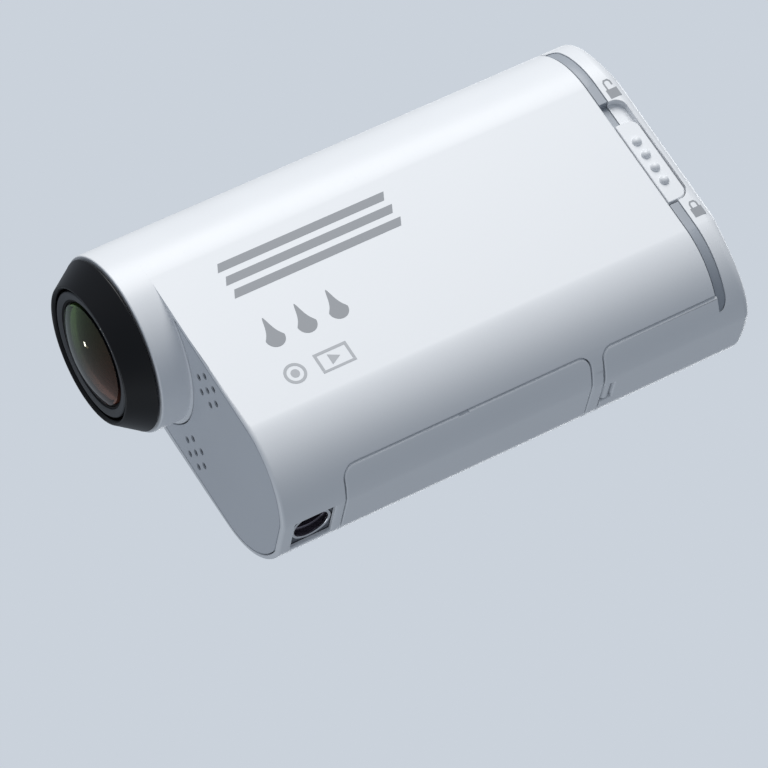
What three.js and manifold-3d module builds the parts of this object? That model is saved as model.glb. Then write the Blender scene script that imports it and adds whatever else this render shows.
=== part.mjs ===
// Bullet-style action camera, in millimetres.
// X runs across the body (+X is the camera's left side), the lens looks along -Y, +Z is up.
// Lengths along Y are written from the front face of the lens bezel; the assembly is then shifted
// so that the origin lies under the middle of the camera, on the surface it stands on.
import * as THREE from "three";
import { mergeVertices } from "three/addons/utils/BufferGeometryUtils.js";
import Module from "manifold-3d";

const wasm = await Module();
wasm.setup();

// ---- Driving dimensions ----
const BODY_WIDTH = 24.2;
const BODY_HEIGHT = 46.5;
const KEEL_FLAT = 6.4; // width of the flat underside
const KEEL_START = 10.8; // height at which the sides begin to curve in
const KEEL_TOP = 4.4; // inner floor of the body
const FRONT_FACE = 7.9; // front face of the body under the barrel
const SHELL_END = 72.85; // rear end of the main shell
const CAP_LENGTH = 7.55; // from the shell's end to the rearmost point of the cap
const CAP_DOME = { depth: 10, fall: 2.6 }; // half depth of its ellipsoid, and fall at its rim
const WALL = 1.4;
const BARREL_WALL = 1.5;
const FRONT_WALL = 2.5;
const CAP_WALL = 1.8;
const COVER_WALL = 1.3;
const PANEL_RIM = 0.6; // white rim left round the front panel
const PANEL_THICKNESS = 1.2;
const GAP = 0.3; // between pieces that touch on the real camera
const RUNNING = 0.15; // round a pin or a sliding lens cell

// Lens
const BARREL_FRONT = 3.8;
const BEZEL_FRONT_RADIUS = 9.45;
const BEZEL_DEPTH = 3.5;
const BEZEL_STEP = 0.37; // bezel's rear rim, in from the barrel's skin
const LENS_RADIUS = 6.9;
const LENS_EDGE = 0.4;
const LENS_BULGE = 1.5;

// Covers
const CONNECTOR_COVER = { half: 7.9, front: 17.05, back: 53.75, corner: 1.8 };
const TONGUE = { half: 7.9, front: 55.35, corner: 1.5 };
const REAR_HINGE = { back: 1.05, z: 0.85, knuckle: 0.7, lug: 1.6, half: 3.6 };
const SIDE_HINGE = { in: 0.7, depth: 0.8, knuckle: 0.8 }; // in from the edge, under the skin
const PIN_RADIUS = 0.35;
const BAND_WIDTH = 1.45;
const BAND_SINK = 0.45;
const BAND_CORNER = 1.3;

// Lock lever, on the camera's left
const LEVER_BOTTOM = 15;
const LEVER_LENGTH = 13;
const LEVER_DEPTH = 2.75;
const LEVER_THICKNESS = 0.8;
const LEVER_TRAVEL = 3.4;
const BUMP_RADIUS = 0.65;
const BUMP_PITCH = 2.2;
const BUMP_COUNT = 4;

// Tripod socket, 1/4 inch 20 threads: 5 mm is the thread's minor diameter
const TRIPOD_Y = 12.73;
const TRIPOD_BORE = 2.5;
const TRIPOD_WINDOW = 2.95;
const TRIPOD_TOP = 7.4;

// Microphone grilles
const MIC_SPREAD = 7.55;
const MIC_HEIGHT = 19.55;
const MIC_PITCH = 2.15;
const MIC_HOLE = 0.45;

// What the body holds
const BATTERY = { x: 9.2, y: 42.7, z: 29.9 };
const BATTERY_PROUD = 0.05; // the battery's end, behind the shell's
const BATTERY_SIDE = 8; // the battery's face on the camera's left
const TRAY_WALL = 0.6;
const CARD = { x: 11, y: 15, z: 0.7 };
const CARD_REACH = 2.05; // from the shell's end to the card's, with the slot's wall
const BOARD = 1;
const BULKHEAD = { y: 22, thickness: 1.2 };

// Controls on the top and on the right side
const RECORD_Y = 64;
const RECORD_RADIUS = 3.6;
const DISPLAY = { front: 31, back: 53, bottom: 17.5, top: 31, rim: 1.6 };
const MENU_BUTTON = { y: 58.5, radius: 1.9, low: 20.5, high: 27.5, proud: 0.2 };
const HOLD = { y: 65.7, bottom: 20, length: 5, width: 2.8, travel: 3, proud: 0.2 };

const HALF = BODY_WIDTH / 2;
const AXIS_Z = BODY_HEIGHT - HALF; // height of the lens axis
const FAR = 200; // longer than the camera, for cutters
const FRONT_INNER = FRONT_FACE + FRONT_WALL;
const INNER_SIDE = HALF - WALL;
const LENS_FRONT = LENS_EDGE - LENS_BULGE;
const CAP_BACK = SHELL_END + CAP_LENGTH;
const BATTERY_BACK = SHELL_END + BATTERY_PROUD;
const KEEL_SWEEP = KEEL_START / Math.sqrt(1 - (KEEL_FLAT / BODY_WIDTH) ** 2);

// ---- Materials ----
function plastic(colour, roughness, metalness = 0) {
  return new THREE.MeshStandardMaterial({ color: colour, roughness, metalness });
}
const WHITE = plastic("#e9ebee", 0.35);
const PANEL_GREY = plastic("#c3c7cf", 0.5);
const BAND_GREY = plastic("#8f949c", 0.45);
const BLACK = plastic("#15161b", 0.4);
const DARK_GREY = plastic("#3f4248", 0.4);
const GLASS = new THREE.MeshStandardMaterial({
  color: "#24301f", roughness: 0.05, transparent: true, opacity: 0.45,
});
const STEEL = plastic("#b9bcc1", 0.3, 1);
const GOLD = plastic("#c9a24a", 0.3, 1);
const BOARD_GREEN = plastic("#1f5136", 0.5);
const RUBBER = plastic("#1a1b1d", 0.8);
const BATTERY_BLACK = plastic("#24262b", 0.55);
const LAMP_RED = plastic("#b3332a", 0.25);
const LAMP_AMBER = plastic("#d08a2c", 0.25);
const LATCH_BLUE = plastic("#2c5fa8", 0.45);

// ---- Solids ----
function solid(geometry) {
  const bare = geometry.index ? geometry.toNonIndexed() : geometry.clone();
  bare.deleteAttribute("normal");
  bare.deleteAttribute("uv");
  const merged = mergeVertices(bare, 1e-4);
  const index = merged.index.array;
  const kept = [];
  for (let i = 0; i < index.length; i += 3) {
    const [a, b, c] = [index[i], index[i + 1], index[i + 2]];
    if (a !== b && b !== c && c !== a) kept.push(a, b, c);
  }
  return new wasm.Manifold(new wasm.Mesh({
    numProp: 3,
    vertProperties: new Float32Array(merged.attributes.position.array),
    triVerts: new Uint32Array(kept),
  }));
}

function geometryOf(made) {
  const mesh = made.getMesh();
  const geometry = new THREE.BufferGeometry();
  geometry.setAttribute("position", new THREE.BufferAttribute(mesh.vertProperties, 3));
  geometry.setIndex(new THREE.BufferAttribute(mesh.triVerts, 1));
  return geometry;
}

function box(x0, x1, y0, y1, z0, z1) {
  const geometry = new THREE.BoxGeometry(x1 - x0, y1 - y0, z1 - z0);
  return solid(geometry.translate((x0 + x1) / 2, (y0 + y1) / 2, (z0 + z1) / 2));
}

// A cylinder from one end to the other along X, Y or Z, centred on the other two values.
function rod(axis, radius, from, to, first, second, sides = 28) {
  const geometry = new THREE.CylinderGeometry(radius, radius, to - from, sides);
  const middle = (from + to) / 2;
  if (axis === "x") return solid(geometry.rotateZ(-Math.PI / 2).translate(middle, first, second));
  if (axis === "y") return solid(geometry.translate(first, middle, second));
  return solid(geometry.rotateX(Math.PI / 2).translate(first, second, middle));
}

// A solid turned about the lens axis from [radius, y] points that run anticlockwise.
function turned(profile, closed = true, sides = 48) {
  const points = profile.map(([radius, y]) => new THREE.Vector2(radius, y));
  if (closed) points.push(points[0].clone());
  return solid(new THREE.LatheGeometry(points, sides).translate(0, 0, AXIS_Z));
}

// Extrusions of a shape: its two directions become X and Z, Y and Z, or X and Y.
function alongY(shape, from, to) {
  const geometry = new THREE.ExtrudeGeometry(shape, { depth: to - from, bevelEnabled: false });
  return solid(geometry.rotateX(Math.PI / 2).translate(0, to, 0));
}
function alongX(shape, from, to) {
  const geometry = new THREE.ExtrudeGeometry(shape, {
    depth: to - from, bevelEnabled: false, curveSegments: 6,
  });
  const turn = new THREE.Matrix4().makeBasis(
    new THREE.Vector3(0, 1, 0), new THREE.Vector3(0, 0, 1), new THREE.Vector3(1, 0, 0));
  return solid(geometry.applyMatrix4(turn).translate(from, 0, 0));
}
function alongZ(shape, from, to) {
  const geometry = new THREE.ExtrudeGeometry(shape, {
    depth: to - from, bevelEnabled: false, curveSegments: 6,
  });
  return solid(geometry.translate(0, 0, from));
}

function rounded(a0, b0, a1, b1, radius) {
  const shape = new THREE.Shape();
  shape.absarc(a1 - radius, b0 + radius, radius, -Math.PI / 2, 0);
  shape.absarc(a1 - radius, b1 - radius, radius, 0, Math.PI / 2);
  shape.absarc(a0 + radius, b1 - radius, radius, Math.PI / 2, Math.PI);
  shape.absarc(a0 + radius, b0 + radius, radius, Math.PI, 1.5 * Math.PI);
  shape.closePath();
  return shape;
}

// The camera's cross-section, moved in by inset: half circle on top, straight sides, and a
// keel that curves in to a flat underside.
function keelSide(inset) {
  const steps = 14;
  const points = [];
  for (let i = 0; i <= steps; i++) {
    const turn = (i / steps) * (Math.PI / 2);
    const [nx, nz] = [Math.cos(turn) / HALF, Math.sin(turn) / KEEL_SWEEP];
    const length = Math.hypot(nx, nz);
    points.push([
      HALF * Math.cos(turn) - (inset * nx) / length,
      KEEL_START - KEEL_SWEEP * Math.sin(turn) + (inset * nz) / length,
    ]);
  }
  const below = points.findIndex(([, z]) => z <= inset);
  const [[xa, za], [xb, zb]] = [points[below - 1], points[below]];
  const share = (za - inset) / (za - zb);
  return [...points.slice(0, below), [xa + (xb - xa) * share, inset]];
}

function section(inset = 0) {
  const side = keelSide(inset);
  const shape = new THREE.Shape();
  const arcSteps = 32;
  for (let i = 0; i <= arcSteps; i++) {
    const turn = (i / arcSteps) * Math.PI;
    const x = (HALF - inset) * Math.cos(turn);
    const z = AXIS_Z + (HALF - inset) * Math.sin(turn);
    if (i) shape.lineTo(x, z);
    else shape.moveTo(x, z);
  }
  for (const [x, z] of side) shape.lineTo(-x, z);
  for (const [x, z] of [...side].reverse()) shape.lineTo(x, z);
  shape.closePath();
  return shape;
}

// Height of the camera's skin over the keel, at a distance from the middle.
function keelHeight(x) {
  const share = Math.min(1, Math.abs(x) / HALF);
  return Math.max(0, KEEL_START - KEEL_SWEEP * Math.sqrt(1 - share * share));
}

// The point that lies under the skin of the right side of the keel by a depth.
function underKeel(x, depth) {
  const normal = new THREE.Vector2(x / HALF ** 2, (keelHeight(x) - KEEL_START) / KEEL_SWEEP ** 2);
  normal.normalize();
  return { x: x - depth * normal.x, z: keelHeight(x) - depth * normal.y };
}

function skinBand(outer, inner, from, to) {
  return alongY(section(outer), from, to).subtract(alongY(section(inner), from - 1, to + 1));
}

// ---- Assembly ----
const camera = new THREE.Group();
camera.position.y = -(LENS_FRONT + CAP_BACK) / 2;

function part(name, made, material) {
  const mesh = new THREE.Mesh(geometryOf(made), material);
  mesh.name = name;
  camera.add(mesh);
}

// ---- Main shell ----
const BORE = HALF - BARREL_WALL;
const PANEL_BACK = FRONT_FACE + PANEL_THICKNESS + GAP;
const BOSS = { radius: 1.7, end: BULKHEAD.y - GAP, x: INNER_SIDE - 1.45 };
const BOSS_HEIGHTS = [12, AXIS_Z - 1.4];
const SCREW = { shank: 0.6, tip: 15 };

function bosses() {
  const made = [];
  for (const side of [-1, 1]) {
    for (const z of BOSS_HEIGHTS) {
      const [from, hole] = [FRONT_INNER - 0.5, SCREW.shank + RUNNING];
      const column = rod("y", BOSS.radius, from, BOSS.end, side * BOSS.x, z, 20);
      made.push(column.subtract(
        rod("y", hole, SCREW.tip - 0.5, BOSS.end + 1, side * BOSS.x, z, 16)));
    }
  }
  return made;
}

function coverPocket(half, front, back, corner) {
  return skinBand(-1, COVER_WALL + GAP, front - 1, back + 1)
    .intersect(alongZ(rounded(-half, front, half, back, corner), -1, KEEL_TOP));
}

// Room for the rear cover's front edge to turn about its hinge: its radius follows the skin.
function hingeRoom() {
  const steps = 16;
  const edge = REAR_HINGE.back - GAP;
  const points = [new THREE.Vector2(0, -TONGUE.half)];
  for (let i = 0; i <= steps; i++) {
    const x = TONGUE.half * ((2 * i) / steps - 1);
    const drop = Math.max(0, REAR_HINGE.z - keelHeight(x));
    points.push(new THREE.Vector2(Math.hypot(edge, drop) + GAP, x));
  }
  points.push(new THREE.Vector2(0, TONGUE.half));
  const lathe = new THREE.LatheGeometry(points, 32).rotateZ(-Math.PI / 2);
  return solid(lathe.translate(0, REAR_HINGE_Y, REAR_HINGE.z));
}

// The lug of the body that comes down between the two knuckles of the rear cover.
function hingeLug() {
  const { z, knuckle, lug } = REAR_HINGE;
  return rod("x", knuckle, -lug, lug, REAR_HINGE_Y, z, 20)
    .add(box(-lug, lug, REAR_HINGE_Y - knuckle, REAR_HINGE_Y + knuckle, z, KEEL_TOP - 1))
    .subtract(rod("x", PIN_RADIUS + RUNNING, -FAR, FAR, REAR_HINGE_Y, z, 16));
}

function speakerSlots() {
  const cuts = [];
  for (let i = -2; i <= 2; i++) {
    const z = SPEAKER.z + i * 1.4;
    cuts.push(box(-HALF - 1, -INNER_SIDE + 1, SPEAKER.y - 2.2, SPEAKER.y + 2.2, z - 0.3, z + 0.3));
  }
  return cuts;
}

const SPEAKER = { y: 60, z: 13, radius: 3.6 };
const REAR_HINGE_Y = TONGUE.front + REAR_HINGE.back;
const SIDE_PIN = underKeel(SIDE_HINGE.in - CONNECTOR_COVER.half, SIDE_HINGE.depth);
const LAMPS = { y: 26, record: 29, charge: 25.5, radius: 0.8 };
const SOCKET_WINDOW = { half: 5.2, front: 24.6, back: 51.2 };
const TRIPOD_PLATE = { x: 3.6, y: 3.25, bottom: 0.5, top: 1.3 };

function mainShell() {
  let shell = alongY(section(), FRONT_FACE, SHELL_END)
    .add(rod("y", HALF, BARREL_FRONT, FRONT_FACE + 1, 0, AXIS_Z, 56));
  const cavity = alongY(section(WALL), FRONT_INNER, SHELL_END + 1)
    .intersect(box(-FAR, FAR, -FAR, FAR, KEEL_TOP, FAR));
  const panelPocket = alongY(section(PANEL_RIM), FRONT_FACE - 1, PANEL_BACK)
    .subtract(rod("y", HALF + 0.4, 0, FRONT_FACE + FAR, 0, AXIS_Z, 64));
  const cuts = [
    cavity,
    rod("y", BORE, BARREL_FRONT - 1, FRONT_INNER + 1, 0, AXIS_Z, 48),
    panelPocket,
    coverPocket(CONNECTOR_COVER.half, CONNECTOR_COVER.front, CONNECTOR_COVER.back,
      CONNECTOR_COVER.corner),
    coverPocket(TONGUE.half, TONGUE.front, SHELL_END + 5, TONGUE.corner),
    box(-SOCKET_WINDOW.half, SOCKET_WINDOW.half, SOCKET_WINDOW.front, SOCKET_WINDOW.back,
      -1, KEEL_TOP + 1),
    box(-TRIPOD_WINDOW, TRIPOD_WINDOW, TRIPOD_Y - TRIPOD_WINDOW, TRIPOD_Y + TRIPOD_WINDOW,
      -1, TRIPOD_PLATE.bottom + 1),
    box(-TRIPOD_PLATE.x - GAP, TRIPOD_PLATE.x + GAP, TRIPOD_Y - TRIPOD_PLATE.y,
      TRIPOD_Y + TRIPOD_PLATE.y, TRIPOD_PLATE.bottom, TRIPOD_TOP + GAP),
    rod("y", SIDE_HINGE.knuckle + 0.45, CONNECTOR_COVER.front, CONNECTOR_COVER.back,
      SIDE_PIN.x, SIDE_PIN.z),
    rod("y", PIN_RADIUS + RUNNING, CONNECTOR_COVER.front - 1.2, CONNECTOR_COVER.back + 0.9,
      SIDE_PIN.x, SIDE_PIN.z, 16),
    hingeRoom(),
    rod("z", RECORD_RADIUS + GAP, BODY_HEIGHT - 6, BODY_HEIGHT + 1, 0, RECORD_Y, 32),
    alongX(rounded(DISPLAY.front - GAP, DISPLAY.bottom - GAP, DISPLAY.back + GAP,
      DISPLAY.top + GAP, 1.3), -HALF - 1, -INNER_SIDE + 1),
    box(-HALF - 1, -HALF + 0.8, HOLD.y - HOLD.width / 2 - GAP, HOLD.y + HOLD.width / 2 + GAP,
      HOLD.bottom - GAP, HOLD.bottom + HOLD.length + HOLD.travel + GAP),
    box(-HALF - 1, -INNER_SIDE + 1, HOLD.y - 0.8, HOLD.y + 0.8,
      HOLD.bottom + 1.2, HOLD.bottom + 3.8 + HOLD.travel),
    rod("x", LAMPS.radius + GAP, -HALF - 1, -INNER_SIDE + 1, LAMPS.y, LAMPS.record, 16),
    rod("x", LAMPS.radius + GAP, -HALF - 1, -INNER_SIDE + 1, LAMPS.y, LAMPS.charge, 16),
    ...speakerSlots(),
  ];
  for (const z of [MENU_BUTTON.low, MENU_BUTTON.high]) {
    cuts.push(rod("x", MENU_BUTTON.radius + GAP, -HALF - 1, -INNER_SIDE + 1, MENU_BUTTON.y, z));
  }
  for (const side of [-1, 1]) {
    cuts.push(rod("y", MIC_MESH + GAP, FRONT_FACE, FRONT_INNER + 1, side * MIC_SPREAD,
      MIC_HEIGHT));
  }
  for (const cut of cuts) shell = shell.subtract(cut);
  for (const boss of bosses()) shell = shell.add(boss);
  shell = shell.add(hingeLug());
  part("main_shell", shell, WHITE);
}

// ---- Front panel with its microphones ----
const MIC_MESH = 3;
const MIC_CAPSULE = 2.6;

function frontPanel() {
  let panel = alongY(section(PANEL_RIM + GAP), FRONT_FACE, FRONT_FACE + PANEL_THICKNESS)
    .subtract(rod("y", HALF + 0.4 + GAP, 0, FAR, 0, AXIS_Z, 64));
  for (const side of [-1, 1]) {
    for (let i = 0; i < 7; i++) {
      const turn = (i / 6) * 2 * Math.PI + Math.PI / 6;
      const reach = i < 6 ? MIC_PITCH : 0;
      const x = side * MIC_SPREAD + reach * Math.cos(turn);
      const z = MIC_HEIGHT + reach * Math.sin(turn);
      panel = panel.subtract(rod("y", MIC_HOLE, 0, FAR, x, z, 10));
    }
  }
  part("front_panel", panel, PANEL_GREY);
}

function microphones() {
  for (const [name, side] of [["right", -1], ["left", 1]]) {
    const x = side * MIC_SPREAD;
    const front = PANEL_BACK;
    part(`microphone_mesh_${name}`, rod("y", MIC_MESH, front, front + 0.3, x, MIC_HEIGHT), BLACK);
    part(`microphone_${name}`,
      rod("y", MIC_CAPSULE, front + 0.6, front + 2.3, x, MIC_HEIGHT), STEEL);
  }
}

// ---- Lens ----
const SPIGOT = BORE - 0.7;
const CELL_RADIUS = 7.4;
const CELL_BACK = 17.6;

function lens() {
  const rim = HALF - BEZEL_STEP;
  const seat = BEZEL_FRONT_RADIUS - 0.35;
  part("lens_bezel", turned([
    [seat, 0], [BEZEL_FRONT_RADIUS, 0], [rim, BEZEL_DEPTH], [SPIGOT, BEZEL_DEPTH],
    [SPIGOT, 6.8], [CELL_RADIUS + GAP, 6.8], [CELL_RADIUS + GAP, 1.8], [seat, 1.8],
  ], true, 56), BLACK);
  const inner = LENS_RADIUS + RUNNING;
  const outer = seat - RUNNING;
  part("lens_retaining_ring", turned([
    [inner, 0.45], [outer - 0.5, 0.25], [outer, 0.4], [outer, 1.5], [inner, 1.5],
  ], true, 40), DARK_GREY);
  const sphere = (LENS_RADIUS ** 2 + LENS_BULGE ** 2) / (2 * LENS_BULGE);
  const dome = [];
  for (let i = 0; i <= 6; i++) {
    const turn = (i / 6) * Math.asin(LENS_RADIUS / sphere);
    dome.push([sphere * Math.sin(turn), LENS_FRONT + sphere * (1 - Math.cos(turn))]);
  }
  part("front_lens", turned([...dome, [LENS_RADIUS, 2.1], [0, 2.1]], false, 40), GLASS);
  const ring = [];
  for (let i = 0; i < 8; i++) {
    const turn = (i / 8) * 2 * Math.PI;
    ring.push([(SPIGOT + BORE) / 2 + 0.28 * Math.cos(turn), 5 + 0.28 * Math.sin(turn)]);
  }
  part("lens_seal", turned(ring, true, 32), RUBBER);
  lensCell();
}

function lensCell() {
  const flange = 6.5;
  let cell = turned([
    [5.6, 2.5], [CELL_RADIUS, 2.5], [CELL_RADIUS, 7.5], [6, 7.5],
    [6, CELL_BACK], [4.4, CELL_BACK], [4.4, 9], [5.6, 9],
  ], true, 36);
  const plate = box(-flange, flange, CELL_BACK - 1.2, CELL_BACK, AXIS_Z - flange, AXIS_Z + flange)
    .subtract(rod("y", 5, 0, FAR, 0, AXIS_Z));
  cell = cell.add(plate);
  const screwX = 5.4;
  for (const side of [-1, 1]) {
    cell = cell.subtract(
      rod("y", 0.65, CELL_BACK - 3, CELL_BACK + 1, side * screwX, AXIS_Z + side * screwX, 14));
  }
  part("lens_barrel", cell, BLACK);
  part("second_lens", rod("y", 5.6 - RUNNING, 4.6, 6.6, 0, AXIS_Z, 36), GLASS);
  part("rear_lens_group", rod("y", 4.4 - RUNNING, 10.5, 14.5, 0, AXIS_Z, 32), GLASS);
  const sensorFront = CELL_BACK + GAP;
  part("image_sensor",
    box(-3.6, 3.6, sensorFront, sensorFront + 1.2, AXIS_Z - 3, AXIS_Z + 3), DARK_GREY);
  const boardFront = sensorFront + 1.5;
  let board = box(-flange, flange, boardFront, boardFront + BOARD, AXIS_Z - flange,
    AXIS_Z + flange);
  for (const side of [-1, 1]) {
    const [x, z] = [side * screwX, AXIS_Z + side * screwX];
    board = board.subtract(rod("y", 0.65, 0, FAR, x, z, 14));
    const screw = rod("y", 0.5, CELL_BACK - 1, boardFront + BOARD + 0.3, x, z, 14)
      .add(rod("y", 0.95, boardFront + BOARD + 0.2, boardFront + BOARD + 0.9, x, z, 14));
    part(`sensor_board_screw_${side < 0 ? "low" : "high"}`, screw, STEEL);
  }
  part("sensor_board", board, BOARD_GREEN);
}

// ---- Tripod socket ----
function tripodSocket() {
  const neck = TRIPOD_BORE + 0.22;
  const body = 3.15;
  const shoulder = TRIPOD_PLATE.top + GAP;
  part("tripod_socket", rod("z", neck, TRIPOD_PLATE.bottom, shoulder + 0.1, 0, TRIPOD_Y)
    .add(rod("z", body, shoulder, TRIPOD_TOP, 0, TRIPOD_Y))
    .subtract(rod("z", TRIPOD_BORE, -1, TRIPOD_TOP - 1, 0, TRIPOD_Y)), STEEL);
  part("tripod_plate", box(-TRIPOD_PLATE.x, TRIPOD_PLATE.x, TRIPOD_Y - TRIPOD_PLATE.y + 0.2,
    TRIPOD_Y + TRIPOD_PLATE.y - 0.2, TRIPOD_PLATE.bottom + 0.1, TRIPOD_PLATE.top)
    .subtract(rod("z", neck + 0.1, -1, TRIPOD_TOP, 0, TRIPOD_Y)), DARK_GREY);
}

// ---- Connector cover, hinged along the camera's right ----
function connectorCover() {
  const { half, front, back, corner } = CONNECTOR_COVER;
  const outline = rounded(-half + GAP, front + GAP, half - GAP, back - GAP, corner - GAP);
  const knuckle = rod("y", SIDE_HINGE.knuckle, front + 2.15, back - 2.15,
    SIDE_PIN.x, SIDE_PIN.z);
  // The corner inside the hinged edge is rounded so that it turns clear of the shell.
  const insideCorner = box(-FAR, SIDE_PIN.x, front, back, SIDE_PIN.z, KEEL_TOP)
    .subtract(rod("y", SIDE_HINGE.knuckle + 0.2, front - 1, back + 1, SIDE_PIN.x, SIDE_PIN.z));
  const cover = skinBand(0, COVER_WALL, front - 1, back + 1)
    .intersect(alongZ(outline, -1, KEEL_TOP))
    .subtract(insideCorner)
    .add(knuckle)
    .subtract(rod("y", PIN_RADIUS + RUNNING, 0, FAR, SIDE_PIN.x, SIDE_PIN.z, 16));
  part("connector_cover", cover, WHITE);
  part("connector_cover_hinge_pin",
    rod("y", PIN_RADIUS, front - 0.9, back + 0.6, SIDE_PIN.x, SIDE_PIN.z, 14), STEEL);
  const seal = COVER_WALL + 0.05;
  const [w, f, b] = [SOCKET_WINDOW.half - GAP, SOCKET_WINDOW.front + GAP, SOCKET_WINDOW.back - GAP];
  part("connector_cover_seal", box(-w, w, f, b, seal, seal + 0.7)
    .subtract(box(-w + 0.9, w - 0.9, f + 0.9, b - 0.9, 0, FAR))
    .subtract(alongY(section(0), f - 1, b + 1).subtract(alongY(section(seal), f - 2, b + 2))),
  RUBBER);
}

function sockets() {
  const [low, high] = [2.6, 6.3];
  const boardTop = high + 0.3 + 0.7;
  part("connector_board", box(-7, 7, 24, 50.5, high + 0.3, boardTop), BOARD_GREEN);
  part("usb_socket", box(-2.6, 2.6, 26.2, 34.2, low, high)
    .subtract(box(-2, 2, 26.8, 33.6, 0, high - 0.8))
    .add(box(-0.4, 0.4, 27.6, 32.8, low + 0.6, high - 0.3)), STEEL);
  part("hdmi_socket", box(-1.9, 1.9, 36.2, 42.8, low, high)
    .subtract(box(-1.3, 1.3, 36.8, 42.2, 0, high - 0.8))
    .add(box(-0.3, 0.3, 37.6, 41.4, low + 0.6, high - 0.3)), STEEL);
  part("mic_jack", rod("z", 2.7, low, high, 0, 47.3)
    .subtract(rod("z", 1.78, 0, high - 0.8, 0, 47.3, 24)), BLACK);
}

// ---- Rear cover: cap and tongue in one, hinged under the body ----
const CAP_FRONT = SHELL_END + GAP;
const BAND_BACK = SHELL_END + BAND_WIDTH;
const CAP_INNER = 1.2; // from the cap's hollow to the level of its rim
const BAND_LOW = 1;
const BAND_HIGH = BODY_HEIGHT - 2.8;
const BAND_REACH = 4; // each band ends this far from the middle of the body
const LEVER_FACE = HALF - LEVER_THICKNESS - 0.1;

// The groove that each side band lies in, with round corners at its rear.
function bandRoom(side, inset) {
  const [from, to] = side < 0 ? [-FAR, -BAND_REACH] : [BAND_REACH, FAR];
  const outline = rounded(SHELL_END - 2 * BAND_CORNER, BAND_LOW + inset, BAND_BACK - inset,
    BAND_HIGH - inset, BAND_CORNER);
  return alongX(outline, from, to).intersect(box(-FAR, FAR, SHELL_END + inset, FAR, -1, FAR));
}

function leverRecess() {
  const [low, high] = [LEVER_BOTTOM - GAP, LEVER_BOTTOM + LEVER_LENGTH + LEVER_TRAVEL + GAP];
  return alongX(rounded(SHELL_END - 3, low, CAP_FRONT + LEVER_DEPTH + 0.2, high, 1.5),
    LEVER_FACE - GAP, HALF + 1);
}

// The back of the cap is part of an ellipsoid that falls away evenly at the sides and the top.
function capDome() {
  const { depth, fall } = CAP_DOME;
  const spread = 1 / Math.sqrt(1 - (1 - fall / depth) ** 2);
  const ball = new THREE.SphereGeometry(1, 48, 30);
  ball.scale(HALF * spread, depth, (BODY_HEIGHT / 2) * spread);
  return solid(ball.translate(0, CAP_BACK - depth, BODY_HEIGHT / 2))
    .add(box(-FAR, FAR, -FAR, CAP_BACK - depth, -FAR, FAR));
}

function rearCover() {
  const front = TONGUE.front + GAP;
  const half = TONGUE.half - GAP;
  const tongue = skinBand(0, COVER_WALL, front - 1, CAP_FRONT + 1)
    .intersect(alongZ(rounded(-half, front, half, CAP_FRONT + 4, TONGUE.corner - GAP), -1, 5));
  let cap = alongY(section(), CAP_FRONT, CAP_BACK)
    .intersect(capDome())
    .subtract(alongY(section(CAP_WALL), CAP_FRONT - 1, CAP_BACK - CAP_DOME.fall - CAP_INNER))
    .add(tongue);
  for (const side of [-1, 1]) cap = cap.subtract(bandRoom(side, 0));
  const stemRoom = box(HALF - CAP_WALL - 1, HALF, CAP_FRONT + 1.2, CAP_FRONT + 2.6,
    LEVER_BOTTOM + 2.7, LEVER_BOTTOM + 9.3 + LEVER_TRAVEL);
  const { z, knuckle, lug, half: end } = REAR_HINGE;
  const lugRoom = box(-lug - GAP, lug + GAP, 0, REAR_HINGE_Y + knuckle + GAP, -1, z + 3);
  cap = cap.subtract(leverRecess()).subtract(stemRoom)
    .add(rod("x", knuckle, -end, end, REAR_HINGE_Y, z, 20))
    .subtract(lugRoom)
    .subtract(rod("x", PIN_RADIUS + RUNNING, -end, end, REAR_HINGE_Y, z, 16));
  part("rear_cover", cap, WHITE);
  part("rear_cover_hinge_pin",
    rod("x", PIN_RADIUS, RUNNING - end, end - RUNNING, REAR_HINGE_Y, z, 14), STEEL);
  const sealFront = SHELL_END + 0.5;
  part("rear_cover_seal", skinBand(CAP_WALL + 0.45, CAP_WALL + 1.35, sealFront, sealFront + 2)
    .subtract(box(HALF - CAP_WALL - 2.2, FAR, 0, FAR, LEVER_BOTTOM + 1, LEVER_BOTTOM + 13.5)),
  RUBBER);
}

function rearBands() {
  for (const [name, side] of [["right", -1], ["left", 1]]) {
    let band = skinBand(BAND_SINK, CAP_WALL, CAP_FRONT, BAND_BACK - GAP)
      .intersect(bandRoom(side, GAP));
    if (side > 0) {
      band = band.subtract(box(LEVER_FACE - GAP, FAR, 0, FAR, LEVER_BOTTOM - GAP,
        LEVER_BOTTOM + LEVER_LENGTH + LEVER_TRAVEL + GAP));
    }
    part(`rear_band_${name}`, band, BAND_GREY);
  }
}

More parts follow.
